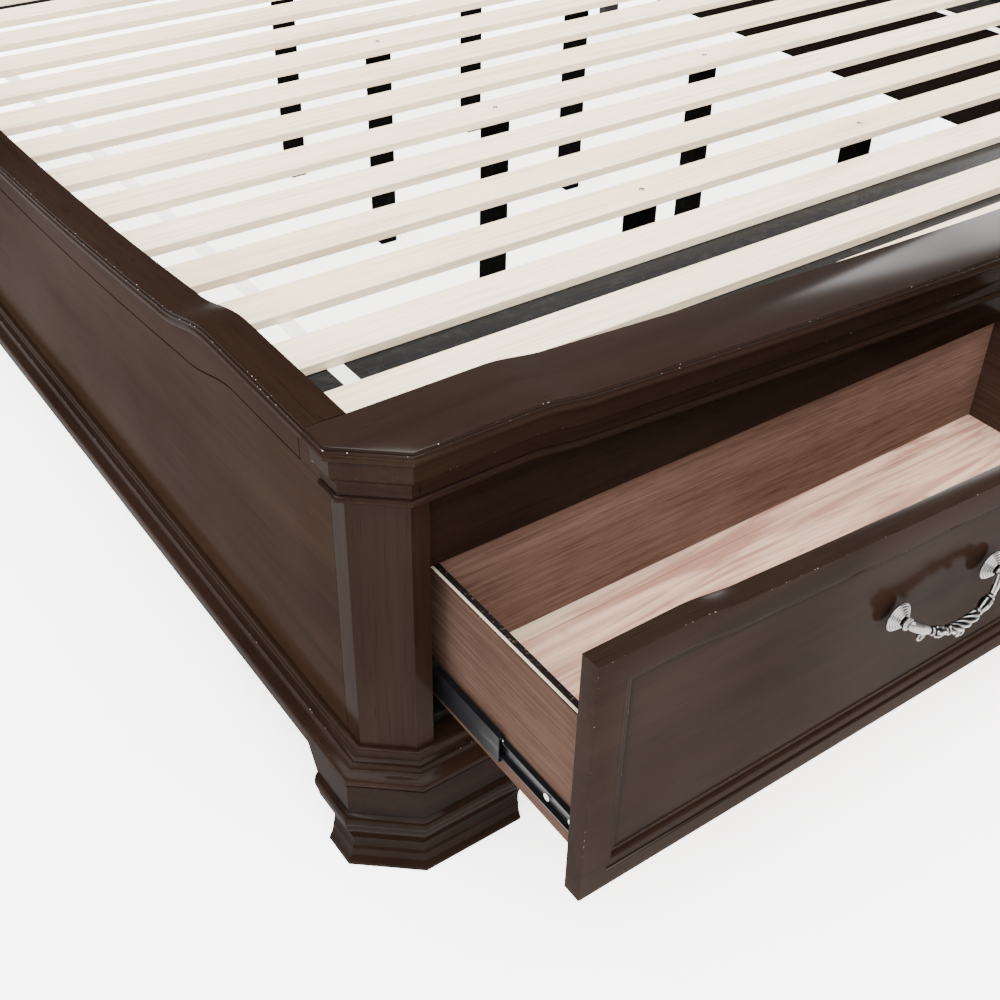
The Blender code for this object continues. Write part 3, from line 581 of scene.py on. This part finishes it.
cap_along = np.concatenate([[rail_start + GAP], along[5:]])
for sign, tag in ((-1, "left"), (1, "right")):
    groove_relief = (0.0, 0.2, -1.0, -1.0, 0.2, 0.0, -1.0, -1.0)
    piece = solid_of(f"rail_board_{tag}", rail_panel(sign), walnut_side, groove_relief)
    keep(piece, "frame", "dark_walnut", f"side_rail_{tag}")
    behind = ((GAP, -0.0290), (GAP, -0.0141), (-0.022, -0.0141), (-0.022, -0.0010), (-0.0212, 0.0))
    rings, relief = swept(RAIL_EDGE, cap_along, rail_top(cap_along), behind)
    rings[..., 0] *= sign
    piece = solid_of(f"rail_moulding_{tag}", rings, walnut_along["Y"], relief)
    keep(piece, "frame", "dark_walnut", f"rail_cap_{tag}")
    foot_drop = rail_foot + 0.0006 - base_top
    behind = ((0.0225, -0.0382), (0.0225, foot_drop), (-0.0005, foot_drop), (-0.0005, 0.0))
    ends = np.linspace(front_face + base_return, head_end - 2 * GAP, 9)
    rings, relief = swept(BASE, ends, ends * 0 + base_top, behind)
    rings[..., 0] *= sign
    piece = solid_of(f"rail_base_{tag}", rings, walnut_along["Y"], relief)
    keep(piece, "frame", "dark_walnut", f"side_rail_{tag}")


# ---- front base and feet ------------------------------------------------------------------------
# The base moulding crosses the front, turns the cut corners and returns to the rails. Under it each
# corner stands on an ogee bracket foot, with its two ends sawn to a scroll.
def base_rings():
    """Rings of the front base moulding from the left return to the middle."""
    out, drop, relief = profile(*BASE)
    out, drop = np.append(out, (GAP, GAP)), np.append(drop, (-0.038, 0.0)) + base_top
    (side_x, side_y), (front_x, front_y) = edges(out)
    side_end = out * 0 + front_face + base_return - GAP
    places = [(post_side + out, side_end), (side_x, side_y), (front_x, front_y)]
    places += [(out * 0 + x, front_face - out) for x in np.linspace(0.90, 0.0, 10)]
    rings = [np.stack([-x, y, drop], -1) for x, y in places]
    return both(np.array(rings)), np.append(relief, (0.0, 0.0))


rings, relief = base_rings()
piece = solid_of("front_base_moulding", rings, walnut_along["X"], relief)
keep(piece, "frame", "dark_walnut", "front_base")
half = post_inner - GAP
low, high = (-half, front_face - GAP, 0.1225), (half, front_face + 0.022, 0.158)
piece = board("rail_under_drawers", low, high, walnut_along["X"])
keep(piece, "frame", "dark_walnut", "front_base")

FOOT = (
    (0.0250, 0.1217, 0), (0.0255, 0.1205, 0), (0.0255, 0.0808, 0), (0.0262, 0.0800, 0.42),
    (0.0306, 0.0640, 0.16), (0.0268, 0.0490, 0), (0.0224, 0.0400, -0.30), (0.0238, 0.0180, -0.14),
    (0.0300, 0.0050, 0), (0.0319, 0.0012, 0), (0.0316, 0.0, 0),
)


def foot_rings(sign):
    """Rings of a foot: side end, side edge, front edge and front end, with stations between.

    Both ends reach further with height: floor reach plus flare times (z / height) to the 1.4.
    """
    out, z, relief = profile(*FOOT)
    out, relief = np.append(out, out * 0 + GAP), np.append(relief, relief * 0)
    z = np.append(z, z[::-1])
    share = (z / base_low) ** 1.4
    (side_x, side_y), (front_x, front_y) = edges(out)
    side_end = front_face + 0.067 + (base_return - GAP - 0.067) * share
    front_end = post_inner - 0.095 - 0.032 * share
    rings = [np.stack([side_x, side_end + (side_y - side_end) * t, z], -1) for t in (0.0, 0.04, 0.5, 1.0)]
    span = (0.0, 0.5, 0.96, 1.0)
    rings += [np.stack([front_x + (front_end - front_x) * t, front_y, z], -1) for t in span]
    rings = np.array(rings)
    rings[..., 0] *= sign
    return rings, relief


# Painted shade: the feet's walnut is a darker copy of the finish, for the shade on the feet's fronts.
walnut_foot_painted_shade = walnut("walnut_foot_painted_shade", "X", 0.32, 0.33, 0.6, 0.13)
for sign, tag in ((-1, "left"), (1, "right")):
    rings, relief = foot_rings(sign)
    piece = solid_of(f"ogee_foot_{tag}", rings, walnut_foot_painted_shade, relief, ladder=True)
    keep(piece, "frame", "dark_walnut", f"bracket_foot_{tag}")


# ---- drawer compartment -------------------------------------------------------------------------
# An apron set back under the cap, a divider and black-painted boards at the top, back and sides.
def black_paint(name, tone=0.012, gloss=0.42):
    """Thin black paint over wood: faint fibres show in the sheen, and dust lies in patches."""
    look = Look(name, Specular_IOR_Level=0.06)
    fibre = look.noise((6.0, 240.0, 240.0), 4.0, 0.6)
    cloud = look.noise((3.0, 3.0, 3.0), 3.0)
    dust = look.noise((60.0, 60.0, 60.0), 5.0, 0.7).between(0.50, 0.72)
    colour = look.mix(cloud * 0.5 + fibre * 0.3, (tone * 0.55,) * 3, (tone * 1.6, tone * 1.55, tone * 1.6))
    dusty = look.mix(dust * 0.25, colour, (tone * 4.0, tone * 3.9, tone * 3.7))
    rough = fibre * 0.16 + dust * 0.14 + (gloss - 0.10)
    return look.finish(Base_Color=dusty, Roughness=rough, Normal=look.bump(fibre, 0.00012, 0.5))


black = black_paint("black_paint", 0.0045)
# Painted light: the top board's black is a lighter copy of the paint, for the sheen on the board.
black_top_painted_light = black_paint("black_board_top_painted_light", 0.011, 0.30)
# The apron takes the darker walnut, painted shade under the cap.
paint(walnut_painted_shade_apron, "drawer_apron")
paint(walnut_along["Y"], "drawer_divider")
paint(black_top_painted_light, "cabinet_top")
paint(black, "cabinet_side_left", "cabinet_side_right", "cabinet_back", "head_support")
paint(black, "slat_ledger_left", "slat_ledger_right")
cabinet_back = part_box("cabinet_back")[0].y
RUNNER_WIDTH, RUNNER_SETBACK = 0.060, 0.0221  # setback from the posts' front face
for sign, tag in ((-1, "left"), (1, "right")):
    x = sorted((sign * half, sign * (half - RUNNER_WIDTH)))
    low, high = (x[0], front_face + RUNNER_SETBACK, 0.1450), (x[1], cabinet_back - GAP, 0.1700)
    keep(board(f"cabinet_runner_{tag}", low, high, black), "frame", "black_board")


# ---- drawer fronts ------------------------------------------------------------------------------
# A frame-and-panel front. The top edge runs parallel to the cap, and a quirk and an ovolo lead down
# to the flat panel.
STICKING = (
    (0.0, 0.0, 0), (0.02, -0.26, 0), (0.10, -0.30, 0.45), (0.66, -0.62, 0), (0.70, -0.80, 0),
    (0.97, -0.86, 0), (1.0, -1.0, 0),
)
front_outer, front_inner = post_inner - 0.002, 0.018
FRONT_BOTTOM, FRONT_DROP = 0.163, 0.088
STILE, BOTTOM_STILE, TOP_STILE, PANEL_DEPTH = 0.030, 0.022, 0.028, 0.008


def front_rings(sign, face):
    """Rings of a drawer front from its back to its panel, each an outline moved inwards.

    The outline is the front's lower corners and the line of the cap less 88 mm.
    """
    dip, level = np.linspace(front_inner, sag_from, 34), np.linspace(sag_from, front_outer, 20)
    tops = np.concatenate([dip, level[1:]])

    def outline(stile, low, high, depth):
        near, far = front_inner + stile, front_outer - stile
        x = near + (tops - front_inner) * (far - near) / (front_outer - front_inner)
        z = footboard_top(x) - FRONT_DROP - high
        x, z = np.append((far, near), x), np.append((FRONT_BOTTOM + low,) * 2, z)
        return np.stack([sign * x, x * 0 + face + depth, z], -1)

    share, deep, relief = profile(*STICKING)
    rings = [outline(0.0, 0.0, 0.0, 0.022), outline(0.0, 0.0, 0.0, 0.0016)]
    rings += [outline(0.0006, 0.0006, 0.0006, 0.0004), outline(0.0018, 0.0018, 0.0018, 0.0)]
    for s, d in zip(share, deep):
        inset = (STILE + 0.014 * s, BOTTOM_STILE + 0.020 * s, TOP_STILE + 0.014 * s)
        rings.append(outline(*inset, -PANEL_DEPTH * d))
    rings += [outline(0.0450, 0.0430, 0.0430, PANEL_DEPTH), outline(0.0520, 0.0500, 0.0500, PANEL_DEPTH)]
    relief = np.concatenate([(0.0, 0.25, 0.6, 0.1), relief, (-0.6, 0.0)])
    return np.array(rings), relief[:, None]


walnut_front = walnut("walnut_drawer_front", "X", 0.60, 0.30, 0.55, 0.165, gleam=0.10, top_gleam=0.55)
for sign, tag in ((-1, "left"), (1, "right")):
    rings, relief = front_rings(sign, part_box(f"drawer_front_{tag}")[0].y)
    piece = solid_of(f"moulded_front_{tag}", rings, walnut_front, relief)
    keep(piece, f"drawer_{tag}", "dark_walnut", f"drawer_front_{tag}")


# ---- drawer boxes -------------------------------------------------------------------------------
# Sides and back of thin veneered board, with a dark top edge that has a raw line along it, and a
# bottom of aromatic cedar.
def veneer(name, grain, top, raw, tone=1.0):
    """Satin veneer. raw is the (axis, from, to) of the bare strip on the top edge; tone is painted light."""
    look = Look(name, Coat_Roughness=0.3, Specular_IOR_Level=0.0)
    scale = {"X": (7.0, 60.0, 190.0), "Y": (60.0, 7.0, 190.0)}[grain]
    fibre = look.noise(scale, 6.0, 0.65, 0.8)
    fleck = look.noise(tuple(v * 2.6 for v in scale), 3.0, 0.6, 0.5).between(0.52, 0.66)
    cloud = look.noise((4.0, 4.0, 4.0), 3.0)
    shade = fibre * 0.6 + cloud * 0.4
    colours = (0.30, (0.023, 0.0130, 0.0094)), (0.52, (0.047, 0.0275, 0.0205))
    colours += ((0.75, (0.076, 0.047, 0.036)),)
    stops = tuple((at, tuple(tone * v for v in colour)) for at, colour in colours)
    stain = look.node("ShaderNodeValToRGB", {"stops": stops}, {0: shade})
    face = look.mix(fleck * 0.40, stain, (0.024, 0.0135, 0.0100))
    height = look.axis("Z")
    edge = height.between(top - 0.0009, top - 0.0006)
    speck = look.noise((330.0, 330.0, 330.0), 2.0).between(0.60, 0.72)
    dark = look.mix(speck * 0.7, (0.006, 0.005, 0.0045), (0.075, 0.058, 0.048))
    edged = look.mix(edge, face, dark)
    letter, start, end = raw
    run = look.axis(letter)
    strip = run.between(start - 0.0002, start) * (1.0 - run.between(end, end + 0.0002)) * edge
    bare = look.mix(strip, edged, (0.36, 0.29, 0.21))
    surface = look.bump(fibre - fleck * 0.5, 0.00012, 0.6)
    return look.finish(Base_Color=bare, Roughness=fibre * 0.12 + 0.34, Normal=surface)


def cedar():
    """Planed cedar boards: pink-brown heartwood, cream sapwood streaks and small dark knots."""
    look = Look("aromatic_cedar", Specular_IOR_Level=0.0)
    streak = look.noise((1.3, 11.0, 11.0), 3.0, 0.55, 1.2).between(0.50, 0.62)
    fibre = look.noise((5.0, 210.0, 60.0), 5.0, 0.6, 0.4)
    ring = look.noise((2.2, 32.0, 32.0), 4.0, 0.6, 2.2)
    cell = {"feature": "F1"}
    far = look.node("ShaderNodeTexVoronoi", cell, {"Vector": look.place, "Scale": 5.2, "Randomness": 1.0})
    knot = 1.0 - far.between(0.02, 0.075)
    heart = look.mix(ring.between(0.34, 0.64), (0.37, 0.190, 0.140), (0.66, 0.43, 0.315))
    wood = look.mix(streak * 0.75, heart, (0.66, 0.53, 0.385))
    grained = look.mix(fibre.between(0.40, 0.70) * 0.22, wood, (0.26, 0.14, 0.10))
    knotted = look.mix(knot * 0.85, grained, (0.16, 0.065, 0.040))
    board_line = look.axis("Y") * 11.3
    joint = board_line.math("FRACT")
    seam_line = joint.between(0.985, 0.992) * (1.0 - joint.between(0.993, 0.999))
    jointed = look.mix(seam_line, knotted, (0.10, 0.05, 0.035))
    return look.finish(Base_Color=jointed, Roughness=fibre * 0.2 + 0.5, Normal=look.bump(fibre, 0.0002, 0.5))


cedar_board = cedar()
for sign, tag in ((-1, "left"), (1, "right")):
    for end, outward in (("outer_side", sign), ("inner_side", -sign)):
        name = f"drawer_{tag}_{end}"
        low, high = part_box(name)
        strip = (high.x - 0.0042, high.x - 0.0012) if outward > 0 else (low.x + 0.0012, low.x + 0.0042)
        paint(veneer(f"veneer_{name}", "Y", high.z, ("X", *strip)), name)
    name = f"drawer_{tag}_back"
    low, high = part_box(name)
    # Painted light: the back's veneer is 2.3 times lighter than the sides', for the light on the inside of
    # the back.
    paint(veneer(f"veneer_{name}", "X", high.z, ("Y", high.y - 0.0042, high.y - 0.0012), 2.3), name)
    paint(cedar_board, f"drawer_{tag}_bottom")


# ---- pulls --------------------------------------------------------------------------------------
# Cast bail pulls in antiqued pewter: beehive rosettes, and a drooping grip with a strap, a collar
# and a cupped leaf on each side of a roped middle.
def pewter():
    """Cast metal, bright where it is rubbed and near black in the recesses."""
    look = Look("antique_pewter", Metallic=1.0)
    relief = look.attribute("relief")
    cloud = look.noise((190.0, 190.0, 190.0), 4.0, 0.6)
    fine = look.noise((900.0, 900.0, 900.0), 3.0, 0.6)
    height = relief + cloud * 0.7 - 0.35
    stops = ((0.0, (0.001, 0.001, 0.001)), (0.5, (0.011, 0.0105, 0.010)), (1.0, (0.17, 0.163, 0.158)))
    metal = look.node("ShaderNodeValToRGB", {"stops": stops}, {0: height.between(-0.75, 0.75)})
    rough = 0.40 - height.between(-0.2, 0.8) * 0.17 + fine * 0.10
    normal = look.bump(cloud * 0.6 + fine * 0.4, 0.00030, 0.5)
    return look.finish(Base_Color=metal, Roughness=rough, Normal=normal)


cast_pewter = pewter()


def turned(name, radii, heights, centre, axis, material, relief=None, ribs=0, rib_from=0, rib=0.0):
    """A turned piece: radius by height, round an axis through its centre.

    The axis is -Y or +Z. From station rib_from on, the radius is scaled by 1 + rib * cos(ribs * a).
    """
    angle = np.linspace(0, 2 * np.pi, 96 if ribs else 40, endpoint=False)
    radii, heights = np.array(radii), np.array(heights)
    ribbed = np.where(np.arange(len(radii)) >= rib_from, rib, 0.0)[:, None] * np.cos(ribs * angle)
    r = radii[:, None] * (1 + ribbed)
    h = heights[:, None] + angle * 0
    a, b = r * np.cos(angle), r * np.sin(angle)
    if axis == "-Y":
        rings = np.stack([centre[0] + a, centre[1] - h, centre[2] + b], -1)
    else:
        rings = np.stack([centre[0] + a, centre[1] + b, centre[2] + h], -1)
    if relief is not None:
        relief = np.array(relief)[:, None] + np.where(ribbed != 0.0, ribbed / max(rib, 1e-6) * 0.6, 0.0)
    return solid_of(name, rings, material, relief, angle=50.0)


def tube(name, route, radius, material, squash=1.0, flutes=0.0, count=0, twist=0.0, sides=40, relief=0.0):
    """A tube along a route whose radius, fluting and squash may change along it.

    Radius at angle a and station s is radius(s) * (1 + flutes(s) * cos(count * a + twist(s))).
    squash(s) scales the section's thickness across the route's own plane.
    """
    route = np.array(route)
    way = np.gradient(route, axis=0)
    way /= np.linalg.norm(way, axis=1)[:, None]
    across = np.cross(way, (0.0, 1.0, 0.0))
    across /= np.linalg.norm(across, axis=1)[:, None]
    deep = np.cross(across, way)
    angle = np.linspace(0, 2 * np.pi, sides, endpoint=False)
    ones = np.ones(len(route))
    wave = np.cos(count * angle + (ones * twist)[:, None])
    r = (ones * radius)[:, None] * (1 + (ones * flutes)[:, None] * wave)
    a, b = r * np.cos(angle), r * np.sin(angle) * (ones * squash)[:, None]
    rings = route[:, None] + a[..., None] * across[:, None] + b[..., None] * deep[:, None]
    shade = (ones * relief)[:, None] + np.where((ones * flutes)[:, None] > 0.0, wave * 0.75, 0.0)
    return solid_of(name, rings, material, shade, angle=60.0)


def rosette_profile():
    """Radii, heights and relief of a rosette: five stepped rings up to a button on a neck.

    Ring n is a quarter round, 1.6 mm wide and 1.4 mm high, that springs from radius 14.8 - 2.1 n
    and height 1.4 + 1.6 n. The last value is the station from which the button is ribbed.
    """
    radii, heights, relief = [0.0001, 0.0169, 0.0170], [0.0003, 0.0003, 0.0012], [0.0, 0.0, -0.3]
    for n in range(5):
        for turn in np.linspace(0.0, np.pi / 2, 5):
            radii.append(0.0148 - 0.0021 * n + 0.0016 * math.cos(turn))
            heights.append(0.0014 + 0.0016 * n + 0.0014 * math.sin(turn))
            relief.append(0.75)
        radii += [0.0147 - 0.0021 * n, 0.0145 - 0.0021 * n]
        heights += [0.0024 + 0.0016 * n, 0.0025 + 0.0016 * n]
        relief += [-1.2, -1.2]
    neck = [(0.0048, 0.0105, -0.9), (0.0052, 0.0112, 0.2), (0.0070, 0.0118, 0.7), (0.0075, 0.0130, 0.8)]
    neck += [(0.0070, 0.0144, 0.7), (0.0052, 0.0154, 0.6), (0.0028, 0.0159, -0.6), (0.0001, 0.0158, 0.5)]
    for radius, height, shade in neck:
        radii.append(radius)
        heights.append(height)
        relief.append(shade)
    return radii, heights, relief, len(radii) - len(neck) + 2


def window(value, low, high, soft=0.03):
    """1 between low and high, easing to 0 outside."""
    return smooth((value - low) / soft + 0.5) * smooth((high - value) / soft + 0.5)


pull_half, pull_z = 0.071, 0.322
for sign, tag in ((-1, "left"), (1, "right")):
    body, face = f"drawer_{tag}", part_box(f"drawer_front_{tag}")[0].y
    middle = sign * (front_outer + front_inner) / 2
    radii, heights, relief, first = rosette_profile()
    for end in (-1, 1):
        at = (middle + end * pull_half, face, pull_z)
        place = f"{tag}_{'near' if end * sign < 0 else 'far'}"
        piece = turned(f"rosette_{place}", radii, heights, at, "-Y", cast_pewter, relief, 24, first, 0.035)
        keep(piece, body, "antique_pewter", f"drawer_pull_{tag}")
        turn = np.linspace(0.0, 3.3 * np.pi, 60)
        reach = 0.0070 - 0.00045 * turn
        curl_x = middle + end * (0.0555 - reach * np.sin(turn) * 0.9)
        curl_z = pull_z - 0.0190 + reach * np.cos(turn) * 0.75
        curl = np.stack([curl_x, curl_x * 0 + face - 0.0205, curl_z], -1)
        thick = np.interp(turn, (0.0, 2.0, 9.0, 10.37), (0.0016, 0.0014, 0.0011, 0.0016))
        piece = tube(f"scroll_{place}", curl, thick, cast_pewter, 1.3, relief=0.5, sides=16)
        keep(piece, body, "antique_pewter")
    u = np.linspace(-1.0, 1.0, 321)
    off = np.abs(u)
    drop = 0.026 * (1 - off**1.66)
    out = 0.0125 + 0.0158 * (1 - off**3.26)
    route = np.stack([middle + u * pull_half, face - out, pull_z - drop], -1)
    knots = (0.0, 0.30, 0.33, 0.36, 0.39, 0.43, 0.50, 0.575, 0.60, 0.63, 0.66, 0.70, 0.80, 0.93, 1.0)
    size = (48, 45, 30, 40, 32, 40, 51, 50, 33, 44, 33, 40, 52, 50, 30)
    radius = np.interp(off, knots, np.array(size) * 0.000118)
    rope = window(off, -1.0, 0.305)
    leaf = window(off, 0.40, 0.585)
    fluted = np.where(rope > 0.5, 0.13 * rope, 0.12 * leaf)
    squash = 1.0 - 0.38 * window(off, 0.66, 2.0, 0.08)
    hollow = -1.2 * sum(window(off, at, at + 0.02, 0.02) for at in (0.32, 0.59, 0.65))
    twist = np.where(rope > 0.5, u * 40.0, 0.0)
    shade = 0.55 + hollow - 0.35 * (rope + leaf)
    piece = tube(f"grip_{tag}", route, radius, cast_pewter, squash, fluted, 5, twist, 60, shade)
    keep(piece, body, "antique_pewter", f"drawer_pull_{tag}")
    leaf_z = np.linspace(0.0, 1.0, 40)
    hang_y, hang_z = face - 0.0300 + leaf_z * 0.003, pull_z - 0.0285 - leaf_z * 0.0150
    hang = np.stack([middle + leaf_z * 0, hang_y, hang_z], -1)
    thick = 0.0062 * np.sin(np.pi * np.clip(leaf_z * 0.93 + 0.05, 0, 1)) ** 0.8 + 0.0003
    piece = tube(f"drop_leaf_{tag}", hang, thick, cast_pewter, 0.5, 0.14, 5, 0.0, 50, 0.1)
    keep(piece, body, "antique_pewter")


# ---- slides -------------------------------------------------------------------------------------
# Black-coated three-part steel slides. The front of each middle member has two stop blocks and a
# bright tab, and screws hold the drawer member. The balls between the members are left out.
def steel(name, colour, rough, metal):
    """Thin coated sheet with fine rolling lines, and rubbed patches where members run together."""
    look = Look(name, Metallic=metal, Specular_IOR_Level=0.12)
    line = look.noise((900.0, 9.0, 900.0), 3.0, 0.5)
    rub = look.noise((40.0, 12.0, 60.0), 4.0, 0.6).between(0.58, 0.74)
    tone = look.mix(line, tuple(v * 0.7 for v in colour), tuple(v * 1.35 for v in colour))
    worn = look.mix(rub * 0.35, tone, tuple(min(v * 3.0 + 0.05, 0.8) for v in colour))
    return look.finish(Base_Color=worn, Roughness=line * 0.14 + rub * 0.08 + (rough - 0.08))


coated = steel("coated_slide", (0.0065, 0.0065, 0.0075), 0.34, 0.5)
bright = steel("bright_zinc", (0.30, 0.30, 0.29), 0.26, 1.0)
HEAD = ((0.0042, 0.0), (0.0042, 0.0006), (0.0034, 0.0013), (0.0016, 0.0016), (0.0012, 0.0009))
HEAD += ((0.0001, 0.0008),)  # radius and height of a slide screw's head, out to in
SCREWS_BACK = (0.012, 0.050, 0.145, 0.250)  # screws behind a drawer member's front end
angle = np.linspace(0, 2 * np.pi, 32, endpoint=False)
for tag in ("left", "right"):
    for end in ("outer", "inner"):
        members_of = [f"slide_{member}_{tag}_{end}" for member in ("cabinet", "middle", "drawer")]
        paint(coated, *members_of)
        low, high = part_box(members_of[1])
        tall = (high.z - low.z) / 2
        centre_z = (low.z + high.z) / 2
        x0, x1 = low.x + 0.0016, high.x - 0.0004
        for edge, up in (("upper", 1), ("lower", -1)):
            z = sorted((centre_z + up * 0.0125, centre_z + up * (tall - 0.0016)))
            size = (x0, low.y + 0.0006, z[0]), (x1, low.y + 0.0110, z[1])
            piece = board(f"stop_{tag}_{end}_{edge}", *size, black, 0.0005)
            keep(piece, f"slide_middle_{tag}", "slide_steel")
        centre_x = (x0 + x1) / 2
        size = (centre_x - 0.0009, low.y - 0.0030, centre_z + 0.0128)
        size = size, (centre_x + 0.0009, low.y + 0.0004, centre_z + 0.0158)
        piece = board(f"tab_{tag}_{end}", *size, bright, 0.0003)
        keep(piece, f"slide_middle_{tag}", "slide_steel")
        low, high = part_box(members_of[2])
        outward = 1 if (low.x + high.x > 0) == (end == "outer") else -1
        face_x = (low.x + 0.0014) if outward < 0 else (high.x - 0.0014)
        for n, y in enumerate(SCREWS_BACK):
            rings = []
            for r, h in HEAD:
                ring_y, ring_z = low.y + y + r * np.cos(angle), centre_z + r * np.sin(angle)
                rings.append(np.stack([angle * 0 + face_x - outward * h, ring_y, ring_z], -1))
            piece = solid_of(f"slide_screw_{tag}_{end}_{n}", np.array(rings), bright)
            keep(piece, f"drawer_{tag}", "slide_steel")


# ---- slats --------------------------------------------------------------------------------------
# Cream slats of thin plies, spaced by two woven tapes under them. Slats 3, 6, 9 and 12 each stand
# on a pair of black legs, fixed from above with a screw.
slat_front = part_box("slat_01")[0].y
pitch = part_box("slat_02")[0].y - slat_front
slat_top, slat_bottom = 0.392, 0.379
LEG_HALF_SPACING, TAPE_X, TAPE_HALF = 0.228, 0.826, 0.011


def slat_wood():
    """Cream poplar. Each slat has its own tint, its edges show the plies, and legs are black."""
    look = Look("cream_slat", Specular_IOR_Level=0.0)
    number = ((look.axis("Y") - slat_front) / pitch).math("FLOOR")
    tint = look.node("ShaderNodeTexWhiteNoise", {"noise_dimensions": "1D"}, {"W": number})
    fibre = look.noise((4.0, 120.0, 120.0), 6.0, 0.62, 0.3)
    figure = look.noise((0.9, 16.0, 16.0), 3.0, 0.5, 1.4)
    flame = look.noise((1.6, 7.0, 7.0), 2.0).between(0.56, 0.70)
    cream = look.mix(tint * 0.5 + figure * 0.4, (0.88, 0.745, 0.535), (0.72, 0.575, 0.385))
    warm = look.mix(flame * 0.35, cream, (0.44, 0.31, 0.19))
    grained = look.mix(fibre.between(0.42, 0.72) * 0.40, warm, (0.36, 0.26, 0.165))
    height = look.axis("Z")
    ply = (height * 3900.0).math("SINE").between(0.55, 0.95)
    side = 1.0 - height.between(slat_top - 0.0008, slat_top - 0.0004)
    plied = look.mix(ply * side * 0.6, grained, (0.16, 0.10, 0.055))
    leg = 1.0 - height.between(slat_bottom - 0.0004, slat_bottom - 0.0001)
    scuff = look.noise((90.0, 90.0, 30.0), 4.0, 0.7).between(0.55, 0.75)
    paint_black = look.mix(scuff * 0.3, (0.002, 0.002, 0.002), (0.016, 0.015, 0.014))
    whole = look.mix(leg, plied, paint_black)
    return look.finish(Base_Color=whole, Roughness=fibre * 0.2 + 0.46, Normal=look.bump(fibre, 0.0002, 0.5))


slat_names = [name for name in nodes if name.startswith("slat_") and "ledger" not in name]
paint(slat_wood(), *slat_names)


def tape_cloth():
    """White plain-woven tape: fine threads both ways."""
    look = Look("white_tape", Specular_IOR_Level=0.25, Roughness=0.8)
    warp = (look.axis("X") * 5200.0).math("SINE")
    weft = (look.axis("Y") * 4200.0).math("SINE")
    soil = look.noise((14.0, 5.0, 5.0), 3.0)
    thread = warp * weft
    tone = look.mix(thread * 0.25 + soil * 0.5, (0.72, 0.71, 0.68), (0.90, 0.90, 0.88))
    return look.finish(Base_Color=tone, Normal=look.bump(thread, 0.0001, 0.4))


cloth = tape_cloth()
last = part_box("slat_15")[1].y
for x, tag in ((-TAPE_X, "left"), (TAPE_X, "right")):
    low = (x - TAPE_HALF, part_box("slat_foot")[0].y + 0.004, slat_bottom - 0.00028)
    high = (x + TAPE_HALF, last - 0.004, slat_bottom - 0.00002)
    keep(board(f"spacing_tape_{tag}", low, high, cloth, 0.00005), "frame", "cream_poplar")


def screw(name, x, y, z, material, size=0.0042):
    """A pan-head screw in a wooden face, with a round recess in its head."""
    radii = np.array((1.0, 1.0, 0.92, 0.70, 0.34, 0.26, 0.01)) * size
    heights = (-0.0004, 0.0004, 0.0009, 0.0013, 0.0014, 0.0006, 0.0005)
    relief = (0.0, 0.3, 0.6, 0.4, -1.0, -1.0, -1.0)
    return turned(name, radii, heights, (x, y, z), "+Z", material, relief)


def screw_pair(slat, kind, inset):
    """Two screws in a slat's top, each inset from its own end of the slat."""
    low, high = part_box(slat)
    centre_y = (low.y + high.y) / 2
    for x, tag in ((low.x + inset, "left"), (high.x - inset, "right")):
        piece = screw(f"{slat}_{kind}_{tag}", x, centre_y, high.z, bright)
        keep(piece, "frame", "slide_steel")


slat_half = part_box("slat_01")[1].x
for name in ("slat_03", "slat_06", "slat_09", "slat_12"):
    screw_pair(name, "screw", slat_half - LEG_HALF_SPACING)
for name in slat_names:
    screw_pair(name, "end_screw", 0.014)
low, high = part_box("cabinet_top")
for n, x in enumerate(np.linspace(low.x + 0.12, high.x - 0.12, 7)):
    piece = screw(f"board_screw_{n}", float(x), low.y + 0.030, high.z, coated, 0.0036)
    keep(piece, "frame", "slide_steel")
